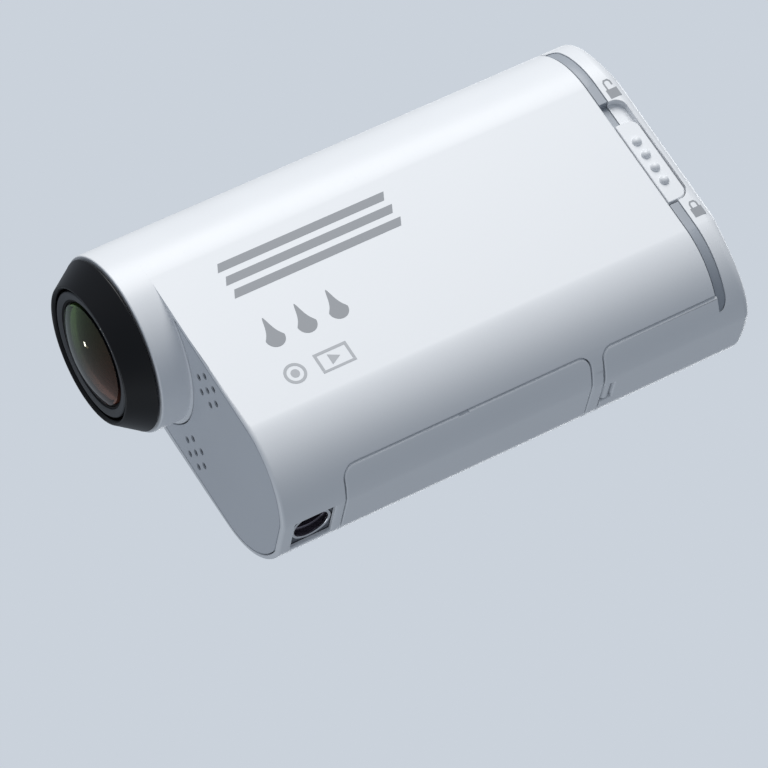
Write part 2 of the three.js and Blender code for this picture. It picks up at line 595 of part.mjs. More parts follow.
function lockLever() {
  const top = LEVER_BOTTOM + LEVER_LENGTH;
  let lever = alongX(rounded(CAP_FRONT - 3, LEVER_BOTTOM, CAP_FRONT + LEVER_DEPTH, top, 1.3),
    LEVER_FACE, LEVER_FACE + LEVER_THICKNESS)
    .intersect(box(0, FAR, CAP_FRONT, FAR, 0, FAR));
  const middle = LEVER_BOTTOM + LEVER_LENGTH / 2;
  for (let i = 0; i < BUMP_COUNT; i++) {
    const z = middle + (i - (BUMP_COUNT - 1) / 2) * BUMP_PITCH;
    const ball = new THREE.SphereGeometry(BUMP_RADIUS, 14, 8);
    lever = lever.add(solid(ball.translate(LEVER_FACE + LEVER_THICKNESS, CAP_FRONT + 1.2, z)));
  }
  const stem = box(HALF - CAP_WALL - 0.9, LEVER_FACE + 0.1, CAP_FRONT + 1.5, CAP_FRONT + 2.3,
    LEVER_BOTTOM + 3, LEVER_BOTTOM + 9);
  const foot = box(HALF - CAP_WALL - 1.2, HALF - CAP_WALL - GAP, CAP_FRONT + 0.9,
    CAP_FRONT + 2.9, LEVER_BOTTOM + 2, LEVER_BOTTOM + 10);
  part("lock_lever", lever.add(stem).add(foot), WHITE);
}

// ---- Battery and card ----
const CARD_BOTTOM = KEEL_TOP + GAP;
const CARD_TOP = CARD_BOTTOM + 2.6;
const TRAY_BOTTOM = CARD_TOP + GAP;
const BATTERY_BOTTOM = TRAY_BOTTOM + TRAY_WALL + GAP;
const BATTERY_FRONT = BATTERY_BACK - BATTERY.y;
const TRAY_TOP = BATTERY_BOTTOM + BATTERY.z + GAP + TRAY_WALL;
const TRAY_SIDE = BATTERY_SIDE - BATTERY.x - GAP - TRAY_WALL;

function batteryBay() {
  const near = BATTERY_SIDE - BATTERY.x;
  part("battery", box(near, BATTERY_SIDE, BATTERY_FRONT, BATTERY_BACK, BATTERY_BOTTOM,
    BATTERY_BOTTOM + BATTERY.z), BATTERY_BLACK);
  part("battery_tray", box(TRAY_SIDE, BATTERY_SIDE + GAP + TRAY_WALL,
    BATTERY_FRONT - GAP - TRAY_WALL, BATTERY_BACK - 0.4, TRAY_BOTTOM, TRAY_TOP)
    .subtract(box(near - GAP, BATTERY_SIDE + GAP, BATTERY_FRONT - GAP, FAR,
      BATTERY_BOTTOM - GAP, BATTERY_BOTTOM + BATTERY.z + GAP)), DARK_GREY);
  const contactBack = BATTERY_FRONT - 2 * GAP - TRAY_WALL;
  part("battery_contacts", box(1, 6, contactBack - 1.8, contactBack, 20, 27), GOLD);
  const low = TRAY_TOP + GAP;
  const hook = box(1.4, 5.4, BATTERY_BACK + GAP, BATTERY_BACK + GAP + 0.7,
    BATTERY_BOTTOM + BATTERY.z - 0.8, low + 1);
  part("battery_latch", box(1.4, 5.4, BATTERY_BACK - 3.4, BATTERY_BACK + GAP + 0.1, low, low + 1)
    .add(hook), LATCH_BLUE);
}

function cardSlot() {
  const front = SHELL_END - CARD.y - CARD_REACH;
  const cardFront = front + 0.8;
  const cardBottom = CARD_BOTTOM + 0.9;
  part("card_slot", box(-6.4, 6.4, front, cardFront + CARD.y - 2, CARD_BOTTOM, CARD_TOP)
    .subtract(box(-CARD.x / 2 - GAP, CARD.x / 2 + GAP, cardFront - GAP, FAR,
      cardBottom - GAP, cardBottom + CARD.z + GAP)), STEEL);
  part("memory_card", box(-CARD.x / 2, CARD.x / 2, cardFront, cardFront + CARD.y,
    cardBottom, cardBottom + CARD.z), BLACK);
}

// ---- Chassis and boards ----
function chassis() {
  const back = BULKHEAD.y + BULKHEAD.thickness;
  let frame = alongY(section(WALL + 0.4), BULKHEAD.y, back)
    .intersect(box(-FAR, FAR, 0, FAR, KEEL_TOP + GAP, FAR))
    .subtract(alongY(rounded(-4, 14, 4, 24, 1), 0, FAR))
    .add(box(-1.5, 1.5, back - 0.5, 58, TRAY_TOP + 1.4, TRAY_TOP + 2.4));
  let number = 1;
  for (const side of [-1, 1]) {
    for (const z of BOSS_HEIGHTS) {
      const x = side * BOSS.x;
      frame = frame.subtract(rod("y", SCREW.shank + GAP, 0, FAR, x, z, 16));
      part(`chassis_screw_${number}`, rod("y", SCREW.shank, SCREW.tip, back + 0.4, x, z, 14)
        .add(rod("y", 1.2, back + 0.3, back + 1.1, x, z, 16)), STEEL);
      number += 1;
    }
  }
  part("chassis", frame, DARK_GREY);
}

function boards() {
  const boardSide = TRAY_SIDE - 0.4;
  const low = 8;
  const high = BATTERY_BOTTOM + BATTERY.z;
  part("main_board", box(boardSide - BOARD, boardSide, 25, 70, low, high), BOARD_GREEN);
  part("processor_shield",
    box(boardSide - BOARD - 2.9, boardSide - BOARD - GAP, 30, 48, 12, 28), STEEL);
  const outer = -INNER_SIDE + 0.4;
  part("speaker", rod("x", SPEAKER.radius, outer, outer + 2, SPEAKER.y, SPEAKER.z), BLACK);
}

// ---- Controls ----
function display() {
  const { front, back, bottom, top, rim } = DISPLAY;
  const skin = -HALF;
  const frame = alongX(rounded(front, bottom, back, top, 1), skin, skin + 1.2)
    .subtract(alongX(rounded(front + rim, bottom + rim, back - rim, top - rim, 0.6),
      skin - 1, skin + 2));
  part("display_frame", frame, DARK_GREY);
  const inset = rim + RUNNING;
  part("display_window", alongX(
    rounded(front + inset, bottom + inset, back - inset, top - inset, 0.5),
    skin + 0.15, skin + 1), GLASS);
  part("lcd_panel", box(skin + 1.6, skin + 3.2, front, back, bottom, top), DARK_GREY);
}

function topAndSideControls() {
  const top = BODY_HEIGHT - 0.05;
  const flange = TRAY_TOP + 3.3;
  part("record_button", rod("z", RECORD_RADIUS, flange, top, 0, RECORD_Y, 32)
    .add(rod("z", RECORD_RADIUS + 0.7, flange, flange + 0.8, 0, RECORD_Y, 32)), PANEL_GREY);
  const { y, radius, low, high, proud } = MENU_BUTTON;
  for (const [name, z] of [["previous_button", low], ["next_button", high]]) {
    part(name, rod("x", radius, -HALF - proud, -INNER_SIDE + 1.5, y, z)
      .add(rod("x", radius + 0.7, -INNER_SIDE + 0.5, -INNER_SIDE + 1.5, y, z)), PANEL_GREY);
  }
  const plate = box(-HALF - HOLD.proud, -HALF + 0.5, HOLD.y - HOLD.width / 2,
    HOLD.y + HOLD.width / 2, HOLD.bottom, HOLD.bottom + HOLD.length);
  const stem = box(-HALF + 0.4, -INNER_SIDE + 1.2, HOLD.y - 0.5, HOLD.y + 0.5,
    HOLD.bottom + 1.5, HOLD.bottom + 3.5);
  const foot = box(-INNER_SIDE + GAP, -INNER_SIDE + 1.2, HOLD.y - 1.5, HOLD.y + 1.5,
    HOLD.bottom + 1, HOLD.bottom + 4);
  part("hold_switch", plate.add(stem).add(foot), DARK_GREY);
  for (const [name, z, colour] of [["record_lamp", LAMPS.record, LAMP_RED],
    ["charge_lamp", LAMPS.charge, LAMP_AMBER]]) {
    part(name, rod("x", LAMPS.radius, -HALF + 0.05, -INNER_SIDE + 1, LAMPS.y, z, 16), colour);
  }
}

mainShell();
frontPanel();
microphones();
lens();
tripodSocket();
connectorCover();
sockets();
rearCover();
rearBands();
lockLever();
batteryBay();
cardSlot();
chassis();
boards();
display();
topAndSideControls();

export default camera;
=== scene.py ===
import math

import bmesh
import bpy
from mathutils import Matrix, Quaternion, Vector


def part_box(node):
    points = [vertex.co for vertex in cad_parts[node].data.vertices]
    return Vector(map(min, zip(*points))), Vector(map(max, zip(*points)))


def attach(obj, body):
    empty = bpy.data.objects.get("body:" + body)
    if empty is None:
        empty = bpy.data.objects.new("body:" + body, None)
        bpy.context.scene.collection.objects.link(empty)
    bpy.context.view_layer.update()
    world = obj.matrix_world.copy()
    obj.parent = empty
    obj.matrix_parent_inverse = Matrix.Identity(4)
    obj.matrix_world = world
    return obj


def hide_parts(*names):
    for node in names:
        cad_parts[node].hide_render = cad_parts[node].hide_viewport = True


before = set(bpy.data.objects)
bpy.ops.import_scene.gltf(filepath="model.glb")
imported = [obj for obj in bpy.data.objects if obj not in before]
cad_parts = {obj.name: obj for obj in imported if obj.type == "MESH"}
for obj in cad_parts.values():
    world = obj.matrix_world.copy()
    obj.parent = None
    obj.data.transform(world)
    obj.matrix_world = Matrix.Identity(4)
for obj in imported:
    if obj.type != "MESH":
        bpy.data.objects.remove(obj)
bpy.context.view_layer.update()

# ---- Viewpoint, light and surroundings ----
# The camera is looked at from its left, from ahead and below, as if it lay on its right side.
# The floor is a plain pale sheet well under the viewpoint; the light is one large soft key over
# the left side, weaker ones from ahead and from behind on the right, and a pale sky all round.
mm = 0.001
scene = bpy.context.scene
scene.view_settings.view_transform = "Standard"

aim = Vector((-5.603, -5.799, 16.547)) * mm
distance = 722.65 * mm
heading, climb, tilt = (math.radians(a) for a in (-66.903, 23.242, -33.918))
sight = Vector((math.sin(heading) * math.cos(climb), math.cos(heading) * math.cos(climb),
                math.sin(climb)))
viewer = bpy.data.cameras.new("viewer")
viewer.lens = 265.72
viewer.sensor_width = 36
viewer.clip_start = 0.01
camera = bpy.data.objects.new("viewer", viewer)
camera.rotation_mode = "QUATERNION"
camera.location = aim - sight * distance
camera.rotation_quaternion = sight.to_track_quat("-Z", "Y") @ Quaternion((0, 0, 1), tilt)
scene.collection.objects.link(camera)
scene.camera = camera


def soft_light(name, towards, away, size, power, colour):
    """A round area light that looks back at the camera from a direction."""
    lamp = bpy.data.lights.new(name, "AREA")
    lamp.shape = "DISK"
    lamp.size = size
    lamp.energy = power
    lamp.color = colour
    light = bpy.data.objects.new(name, lamp)
    place = Vector(towards).normalized() * away
    light.location = place
    light.rotation_mode = "QUATERNION"
    light.rotation_quaternion = (-place).to_track_quat("-Z", "Y")
    scene.collection.objects.link(light)


soft_light("key_light", (0.8, 0.2, 0.72), 0.9, 0.7, 6.9, (1.0, 0.995, 0.98))
soft_light("front_light", (-0.5, -1.0, -0.5), 1.0, 0.6, 1.5, (0.9, 0.95, 1.0))
soft_light("back_light", (-0.8, 0.6, 0.3), 1.0, 0.8, 2.6, (0.96, 0.98, 1.0))
soft_light("glint_light", (-0.63, -0.635, 0.448), 1.0, 0.035, 0.06, (1.0, 1.0, 1.0))



def tune(node, **values):
    """Sets a shader node's inputs; an underscore in a name stands for a space."""
    for name, value in values.items():
        node.inputs[name.replace("_", " ")].default_value = value
    return node


def add(tree, kind, **values):
    """Adds a shader node and sets its inputs."""
    return tune(tree.nodes.new("ShaderNode" + kind), **values)


def feed(source, out, target, into):
    """Links an output of one node to an input of another."""
    target.id_data.links.new(source.outputs[out], target.inputs[into])


sky = bpy.data.worlds.new("pale_sky")
sky.use_nodes = True
air = sky.node_tree
fill = tune(air.nodes["Background"], Color=(0.79, 0.88, 1.0, 1), Strength=0.33)
backdrop = add(air, "Background", Color=(0.80, 0.87, 0.96, 1), Strength=0.74)
either = add(air, "MixShader")
feed(add(air, "LightPath"), "Is Camera Ray", either, "Fac")
feed(fill, "Background", either, 1)
feed(backdrop, "Background", either, 2)
feed(either, "Shader", air.nodes["World Output"], "Surface")
scene.world = sky

floor_mesh = bpy.data.meshes.new("floor")
bm = bmesh.new()
bmesh.ops.create_circle(bm, cap_ends=True, radius=4, segments=64,
                        matrix=Matrix.Translation((0, 0, -0.75)))
bm.to_mesh(floor_mesh)
bm.free()
floor = bpy.data.objects.new("floor", floor_mesh)
scene.collection.objects.link(floor)
pale = bpy.data.materials.new("pale_floor")
pale.use_nodes = True
tune(pale.node_tree.nodes["Principled BSDF"], Base_Color=(0.82, 0.85, 0.9, 1), Roughness=0.8,
     Emission_Color=(0.8, 0.87, 0.96, 1), Emission_Strength=0.32)
floor_mesh.materials.append(pale)
floor.visible_diffuse = False
floor.visible_glossy = False

# ---- Main shell ----
# The white body with the lens barrel moulded in one with it: satin ABS, glossy from the mould
# on the outside, with a fine parting texture. Openings are moulded in for the front panel, the
# two covers, the tripod socket, the display and the controls; every outside edge is softened.
shell_low, shell_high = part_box("main_shell")
panel_low, panel_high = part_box("front_panel")
cover_low, cover_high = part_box("connector_cover")
rear_low, rear_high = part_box("rear_cover")
half_width = shell_high.x
axis_z = shell_high.z - half_width
keel_start = 10.8 * mm
keel_flat = 6.4 * mm
keel_sweep = keel_start / math.sqrt(1 - (keel_flat / 2 / half_width) ** 2)
front_face = panel_low.y
shell_back = shell_high.y
wall = 1.4 * mm
gap = 0.3 * mm
keel_floor = 4.4 * mm
bore_radius = half_width - 1.5 * mm


def outline(bm, y, inset=0.0, floor_at=0.0):
    """A face across the camera: half circle on top, straight sides, a keel cut flat below."""
    turned = Matrix.Rotation(math.pi / 2, 4, "X") @ Matrix.Rotation(math.pi / 192, 4, "Z")
    made = bmesh.ops.create_circle(bm, cap_ends=True, radius=half_width, segments=192,
                                   matrix=turned)["verts"]
    for v in made:
        if v.co.z > 0:
            v.co.z += axis_z
        else:
            v.co.z = max(0.0, keel_start + v.co.z * keel_sweep / half_width)
        v.co.y = y
    face = made[0].link_faces[0]
    if inset:
        rim = bmesh.ops.inset_region(bm, faces=[face], thickness=inset, use_even_offset=True,
                                       use_boundary=True)
        bmesh.ops.delete(bm, geom=rim["faces"], context="FACES")
    for v in face.verts:
        v.co.z = max(v.co.z, floor_at)
    return face


def spun(bm, profile, centre, axis, steps):
    """Turns a closed or grounded profile right round an axis, and makes it a clean solid."""
    bmesh.ops.spin(bm, geom=profile, cent=centre, axis=axis, dvec=(0, 0, 0), angle=2 * math.pi,
                   steps=steps, use_merge=True, use_duplicate=False)
    bmesh.ops.remove_doubles(bm, verts=bm.verts, dist=0.0005 * mm)
    bmesh.ops.recalc_face_normals(bm, faces=bm.faces)


def pull(bm, faces, along):
    """Extrudes faces along a direction and gives the new end faces."""
    made = bmesh.ops.extrude_face_region(bm, geom=faces)["geom"]
    bmesh.ops.translate(bm, vec=along,
                        verts=[g for g in made if isinstance(g, bmesh.types.BMVert)])
    return [g for g in made if isinstance(g, bmesh.types.BMFace)]


def bar(y0, y1, inset=0.0, floor_at=0.0):
    """The camera's cross-section as a solid from one y to another."""
    bm = bmesh.new()
    pull(bm, [outline(bm, y0, inset, floor_at)], (0, y1 - y0, 0))
    bmesh.ops.recalc_face_normals(bm, faces=bm.faces)
    return bm


def round_edges(bm, edges, width, segments):
    """Rolls edges over to a radius."""
    bmesh.ops.bevel(bm, geom=edges, offset=width, offset_type="OFFSET", affect="EDGES",
                    segments=segments, profile=0.5, material=-1, clamp_overlap=False)


def block(low, high, corner=0.0, along=2, steps=6):
    """A box between two corners; its edges along one axis can be rounded."""
    bm = bmesh.new()
    low, high = Vector(low), Vector(high)
    size = high - low
    bmesh.ops.create_cube(bm, size=1, matrix=Matrix.Translation((low + high) / 2)
                          @ Matrix.Diagonal((*size, 1)))
    if corner:
        edges = [e for e in bm.edges
                 if abs((e.verts[0].co - e.verts[1].co)[along]) > size[along] * 0.9]
        round_edges(bm, edges, corner, steps)
    return bm


def peg(radius, start, end, sides=32, end_radius=None):
    """A round solid between two points."""
    bm = bmesh.new()
    start, end = Vector(start), Vector(end)
    way = end - start
    bmesh.ops.create_cone(bm, cap_ends=True, segments=sides, radius1=radius,
                          radius2=radius if end_radius is None else end_radius,
                          depth=way.length,
                          matrix=Matrix.Translation((start + end) / 2)
                          @ way.to_track_quat("Z", "Y").to_matrix().to_4x4())
    return bm


def combine(bm, other, how):
    """Works two solids into one; the second one is used up."""
    pair = []
    for solid in (bm, other):
        mesh = bpy.data.meshes.new("working")
        solid.to_mesh(mesh)
        solid.free()
        holder = bpy.data.objects.new("working", mesh)
        scene.collection.objects.link(holder)
        pair.append(holder)
    step = pair[0].modifiers.new("step", "BOOLEAN")
    step.operation = how
    step.solver = "EXACT"
    step.object = pair[1]
    made = bpy.data.meshes.new_from_object(
        pair[0].evaluated_get(bpy.context.evaluated_depsgraph_get()))
    result = bmesh.new()
    result.from_mesh(made)
    bpy.data.meshes.remove(made)
    for holder in pair:
        bpy.data.meshes.remove(holder.data)
    return result


def cut(bm, *others):
    """Takes other solids out of a solid, one after another."""
    for other in others:
        bm = combine(bm, other, "DIFFERENCE")
    return bm


def join(bm, *others):
    """Adds other solids to a solid, one after another."""
    for other in others:
        bm = combine(bm, other, "UNION")
    return bm


def common(bm, other):
    """Keeps what two solids share."""
    return combine(bm, other, "INTERSECT")


def soften(bm, width, segments=2, least=35, keep=None):
    """Rounds the sharp edges of a solid, or those of them that a test keeps."""
    bmesh.ops.remove_doubles(bm, verts=bm.verts, dist=0.002 * mm)
    bmesh.ops.dissolve_degenerate(bm, edges=bm.edges, dist=0.002 * mm)
    edges = [e for e in bm.edges if len(e.link_faces) == 2
             and e.calc_face_angle(0) > math.radians(least) and (keep is None or keep(e))]
    round_edges(bm, edges, width, segments)


def finish_piece(bm, name, material, body, slot, *nodes, angle=32):
    """Makes the finished piece: smooth faces with crisp folds, riding on its body."""
    mesh = bpy.data.meshes.new(name)
    bm.to_mesh(mesh)
    bm.free()
    mesh.shade_smooth()
    mesh.set_sharp_from_angle(angle=math.radians(angle))
    piece = bpy.data.objects.new(name, mesh)
    flats = piece.modifiers.new("flats", "WEIGHTED_NORMAL")
    flats.mode = "FACE_AREA"
    flats.weight = 80
    flats.keep_sharp = True
    scene.collection.objects.link(piece)
    mesh.materials.append(material)
    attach(piece, body)
    if nodes:
        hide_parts(*nodes)
    return piece


def new_finish(name, **values):
    """A new material, with its nodes, its surface shader and its coordinates."""
    made = bpy.data.materials.new(name)
    made.use_nodes = True
    tree = made.node_tree
    surface = tune(tree.nodes["Principled BSDF"], **values)
    return made, tree, surface, add(tree, "TexCoord")


def moulded(name, colour, roughness, grain=0.35, grain_size=0.35, mottle=0.02, sheen=0.5):
    """Moulded plastic: a fine parting grain, and a faint unevenness of colour and gloss."""
    made, tree, surface, place = new_finish(name, Specular_IOR_Level=sheen)
    cloud = add(tree, "TexNoise", Scale=90, Detail=4)
    feed(place, "Object", cloud, "Vector")
    tone = add(tree, "Mix")
    tone.data_type = "RGBA"
    tone.inputs[6].default_value = (*(c * (1 - mottle) for c in colour), 1)
    tone.inputs[7].default_value = (*(min(1, c * (1 + mottle)) for c in colour), 1)
    feed(cloud, "Fac", tone, 0)
    feed(tone, 2, surface, "Base Color")
    gloss = add(tree, "MapRange", To_Min=roughness - 0.05, To_Max=roughness + 0.05)
    feed(cloud, "Fac", gloss, "Value")
    feed(gloss, "Result", surface, "Roughness")
    fine = add(tree, "TexNoise", Scale=1 / (grain_size * mm), Detail=3)
    feed(place, "Object", fine, "Vector")
    bump = add(tree, "Bump", Strength=grain, Distance=0.01 * mm)
    feed(fine, "Fac", bump, "Height")
    feed(bump, "Normal", surface, "Normal")
    return made


white_plastic = moulded("white_plastic", (0.84, 0.855, 0.88), 0.36)

body = bar(shell_back, front_face)
brow = [e for e in body.edges if abs(e.verts[0].co.y - front_face) < 1e-6
        and abs(e.verts[1].co.y - front_face) < 1e-6
        and max(v.co.z for v in e.verts) < axis_z - 2 * mm]
round_edges(body, brow, 0.5 * mm, 5)
barrel = peg(half_width - 0.004 * mm, (0, shell_low.y, axis_z), (0, front_face + 2 * mm, axis_z),
             sides=192)
lip = [e for e in barrel.edges if all(abs(v.co.y - shell_low.y) < 1e-6 for v in e.verts)]
round_edges(barrel, lip, 0.2 * mm, 3)
shell = join(body, barrel)


def panel_blank(y0, y1, rim, round_lens):
    """The front panel's outline as a solid: the body's section moved in, less the barrel."""
    made = bar(y0, y1, rim)
    return cut(made, peg(half_width + round_lens, (0, y0 - mm, axis_z),
                         (0, y1 + mm, axis_z), sides=128))


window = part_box("tripod_plate")
window_middle = (window[0].y + window[1].y) / 2
record_low, record_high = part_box("record_button")
record_middle = (record_low.y + record_high.y) / 2
display_low, display_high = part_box("display_frame")
hold_low, hold_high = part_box("hold_switch")
hold_middle = (hold_low.y + hold_high.y) / 2
inner_side = half_width - wall
speaker_low, speaker_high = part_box("speaker")
speaker_middle = (speaker_low + speaker_high) / 2
pin_low, pin_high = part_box("connector_cover_hinge_pin")
side_pin = (pin_low + pin_high) / 2
rear_pin_low, rear_pin_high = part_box("rear_cover_hinge_pin")
rear_pin = (rear_pin_low + rear_pin_high) / 2
cover_half = cover_high.x + gap
cover_front = cover_low.y - gap
cover_back = cover_high.y + gap
cover_wall = 1.3 * mm
cover_trim = 0.06 * mm
tongue_half = cover_half
tongue_front = rear_low.y - gap


def skin_pocket(half, y0, y1, corner, depth, top=keel_floor):
    """A pocket that follows the skin: a round-cornered prism, less what lies deeper."""
    prism = block((-half, y0, -mm), (half, y1, top), corner, steps=10)
    return cut(prism, bar(y0 - mm, y1 + mm, depth))


cuts = [
    bar(front_face + 2.5 * mm, shell_back + mm, wall, keel_floor),
    peg(bore_radius, (0, shell_low.y - mm, axis_z), (0, front_face + 4 * mm, axis_z), 128),
    panel_blank(front_face - mm, panel_high.y + gap, 0.68 * mm, 0.48 * mm),
    skin_pocket(cover_half - cover_trim, cover_front + cover_trim, cover_back - cover_trim,
                1.75 * mm, cover_wall + gap),
    skin_pocket(tongue_half - cover_trim, tongue_front + cover_trim, shell_back + 4 * mm,
                1.45 * mm, cover_wall + gap),
]
# The window and the pocket of the tripod socket, and the opening over the connectors.
seal_low, seal_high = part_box("connector_cover_seal")
cuts += [
    block((-2.95 * mm, window_middle - 2.95 * mm, -mm), (2.95 * mm, window_middle + 2.95 * mm, mm),
          0.25 * mm),
    block((-3.9 * mm, window_middle - 3.25 * mm, 0.5 * mm),
          (3.9 * mm, window_middle + 3.25 * mm, 7.7 * mm)),
    block((-5.2 * mm, seal_low.y - gap, 0), (5.2 * mm, seal_high.y + gap, keel_floor + mm),
          0.8 * mm),
    peg(1.25 * mm, (side_pin.x, cover_front + cover_trim, side_pin.z),
        (side_pin.x, cover_back - cover_trim, side_pin.z)),
    peg(0.5 * mm, (side_pin.x, cover_front - 1.2 * mm, side_pin.z),
        (side_pin.x, cover_back + 0.9 * mm, side_pin.z), 20),
]
# Room for the rear cover's front edge to turn about its pin: its radius follows the keel.
room = bmesh.new()
reach = rear_pin.y - rear_low.y + 0.05 * mm
profile = [(-tongue_half, 0)]
for i in range(17):
    x = tongue_half * (i / 8 - 1)
    skin = max(0, keel_start - keel_sweep * math.sqrt(1 - (x / half_width) ** 2))
    profile.append((x, math.hypot(reach, max(0, rear_pin.z - skin)) + 0.2 * mm))
profile.append((tongue_half, 0))
rim = [room.verts.new((x, rear_pin.y, rear_pin.z + radius)) for x, radius in profile]
edges = [room.edges.new(pair) for pair in zip(rim, rim[1:])]
spun(room, rim + edges, rear_pin, (1, 0, 0), 48)
cuts.append(room)
# Openings for the display, the slide switch, the lamps, the side buttons and the speaker.
outside, inside = -half_width - mm, -inner_side + mm
cuts += [
    block((outside, display_low.y - 0.17 * mm, display_low.z - 0.17 * mm),
          (inside, display_high.y + 0.17 * mm, display_high.z + 0.17 * mm), 1.15 * mm, 0),
    block((outside, hold_middle - 1.65 * mm, hold_low.z - 0.25 * mm),
          (-half_width + 0.8 * mm, hold_middle + 1.65 * mm, hold_high.z + 3.25 * mm), 0.4 * mm, 0),
    block((outside, hold_middle - 0.8 * mm, hold_low.z + 1.2 * mm),
          (inside, hold_middle + 0.8 * mm, hold_low.z + 6.8 * mm)),
]
for lamp in ("record_lamp", "charge_lamp"):
    low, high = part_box(lamp)
    middle = (low + high) / 2
    cuts.append(peg((high.y - low.y) / 2 + 0.1 * mm, (outside, middle.y, middle.z),
                    (inside, middle.y, middle.z), 32))
for key in ("previous_button", "next_button"):
    low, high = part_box(key)
    middle = (low + high) / 2
    cuts.append(peg((high.y - low.y) / 2 - 0.7 * mm + 0.15 * mm, (outside, middle.y, middle.z),
                    (inside, middle.y, middle.z), 48))
slots = []
for row in range(-2, 3):
    z = speaker_middle.z + row * 1.4 * mm
    slots.append(block((outside, speaker_middle.y - 2.2 * mm, z - 0.3 * mm),
                       (inside, speaker_middle.y + 2.2 * mm, z + 0.3 * mm), 0.28 * mm, 0))
for side in ("right", "left"):
    low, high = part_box(f"microphone_mesh_{side}")
    middle = (low + high) / 2
    cuts.append(peg(3.3 * mm, (middle.x, front_face, middle.z),
                    (middle.x, front_face + 3.5 * mm, middle.z), 48))
shell = cut(shell, *cuts)
for number in range(1, 5):
    low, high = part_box(f"chassis_screw_{number}")
    x, z = (low.x + high.x) / 2, (low.z + high.z) / 2
    boss = peg(1.7 * mm, (x, front_face + 2 * mm, z), (x, high.y - 2.6 * mm, z), 40)
    boss = cut(boss, peg(0.75 * mm, (x, low.y - 0.5 * mm, z), (x, high.y, z)))
    shell = join(shell, boss)


def on_skin(edge):
    """Tells whether an edge lies on the outside of the camera."""
    for v in edge.verts:
        x, y, z = v.co
        if z > axis_z:
            depth = half_width - math.hypot(x, z - axis_z)
        elif z > keel_start:
            depth = half_width - abs(x)
        else:
            depth = min(1 - math.hypot(x / half_width, (keel_start - z) / keel_sweep),
                        z / half_width) * half_width
        at_brow = abs(y - front_face) < 0.02 * mm and abs(depth) < 0.03 * mm
        if at_brow or depth > 0.03 * mm and y > front_face + 0.01 * mm:
            return False
    return True


soften(shell, 0.12 * mm, keep=lambda e: e.is_convex and on_skin(e)
       and e.verts[0].co.y < front_face + mm)
soften(shell, 0.2 * mm, segments=3,
       keep=lambda e: on_skin(e) and min(v.co.y for v in e.verts) > front_face + mm)
shell = cut(shell, peg(record_high.x - 0.53 * mm, (0, record_middle, 40 * mm),
                       (0, record_middle, 48 * mm), 96))
shell = cut(shell, *slots)
lug = join(peg(0.7 * mm, (-1.6 * mm, *rear_pin.yz), (1.6 * mm, *rear_pin.yz)),
           block((-1.6 * mm, rear_pin.y - 0.7 * mm, rear_pin.z),
                 (1.6 * mm, rear_pin.y + 0.7 * mm, keel_floor)))
lug = cut(lug, peg(0.5 * mm, (-2 * mm, *rear_pin.yz), (2 * mm, *rear_pin.yz), 24))
shell = join(shell, lug)
finish_piece(shell, "body_shell", white_plastic, "camera_body", "white_shell", "main_shell")

# ---- Front panel ----
# The light grey plate under the barrel, snapped into its seat from ahead. Fine spark texture, a
# softened rim and two groups of holes over the microphones.
panel_plastic = moulded("panel_plastic", (0.62, 0.645, 0.685), 0.5, grain=0.6, grain_size=0.22,
                        mottle=0.03, sheen=0.4)
panel = panel_blank(front_face + 0.03 * mm, panel_high.y, 0.85 * mm, 0.65 * mm)
for side in ("right", "left"):
    low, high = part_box(f"microphone_mesh_{side}")
    middle = (low + high) / 2
    for hole in range(7):
        turn = math.radians(30 + 60 * hole)
        reach = 2.15 * mm if hole < 6 else 0
        x, z = middle.x + reach * math.cos(turn), middle.z + reach * math.sin(turn)
        panel = cut(panel, peg(0.47 * mm, (x, front_face - mm, z),
                               (x, panel_high.y + mm, z), 24))
for side in ("right", "left"):
    low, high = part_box(f"microphone_mesh_{side}")
    middle = (low + high) / 2
    panel = cut(panel, peg(2.9 * mm, (middle.x, front_face + 0.3 * mm, middle.z),
                           (middle.x, panel_high.y + mm, middle.z), 48))
soften(panel, 0.1 * mm, keep=lambda e: all(v.co.y < front_face + 0.1 * mm for v in e.verts))
finish_piece(panel, "front_plate", panel_plastic, "camera_body", "panel_grey", "front_panel")

# ---- Microphone meshes ----
# A woven dust mesh of black wire lies behind each group of holes, with the capsule behind it.
def chequered(name, roughness, size, one, other):
    """A fine two-tone weave or dot pattern."""
    made, tree, surface, place = new_finish(name, Roughness=roughness)
    pattern = add(tree, "TexChecker", Scale=1 / size, Color1=(*one, 1), Color2=(*other, 1))
    feed(place, "Object", pattern, "Vector")
    feed(pattern, "Color", surface, "Base Color")
    return made


mesh_cloth = chequered("mesh_cloth", 0.6, 0.12 * mm, (0.012, 0.012, 0.014), (0.05, 0.052, 0.056))


def coat(material, *names):
    """Gives CAD nodes whose shape is right a finished material."""
    for name in names:
        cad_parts[name].material_slots[0].material = material


def metal(name, colour, roughness, wear=0.08, grain_size=0.25, grain=0.25):
    """Plated metal: fine tumbling marks, and patches where the plating has gone duller."""
    made = moulded(name, colour, roughness, grain, grain_size, mottle=0.06)
    tune(made.node_tree.nodes["Principled BSDF"], Metallic=1)
    tune(made.node_tree.nodes["Map Range"], To_Min=roughness - wear, To_Max=roughness + wear)
    return made


nickel = metal("nickel_plate", (0.80, 0.80, 0.82), 0.24)
coat(mesh_cloth, "microphone_mesh_right", "microphone_mesh_left")
coat(nickel, "microphone_right", "microphone_left")

# ---- Lens bezel ----
# The black cone round the lens, turned and anodised, screwed into the barrel on a seal. A thin
# chamfer runs round its mouth and another round its rear rim.
bezel_low, bezel_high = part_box("lens_bezel")
lens_front = bezel_low.y


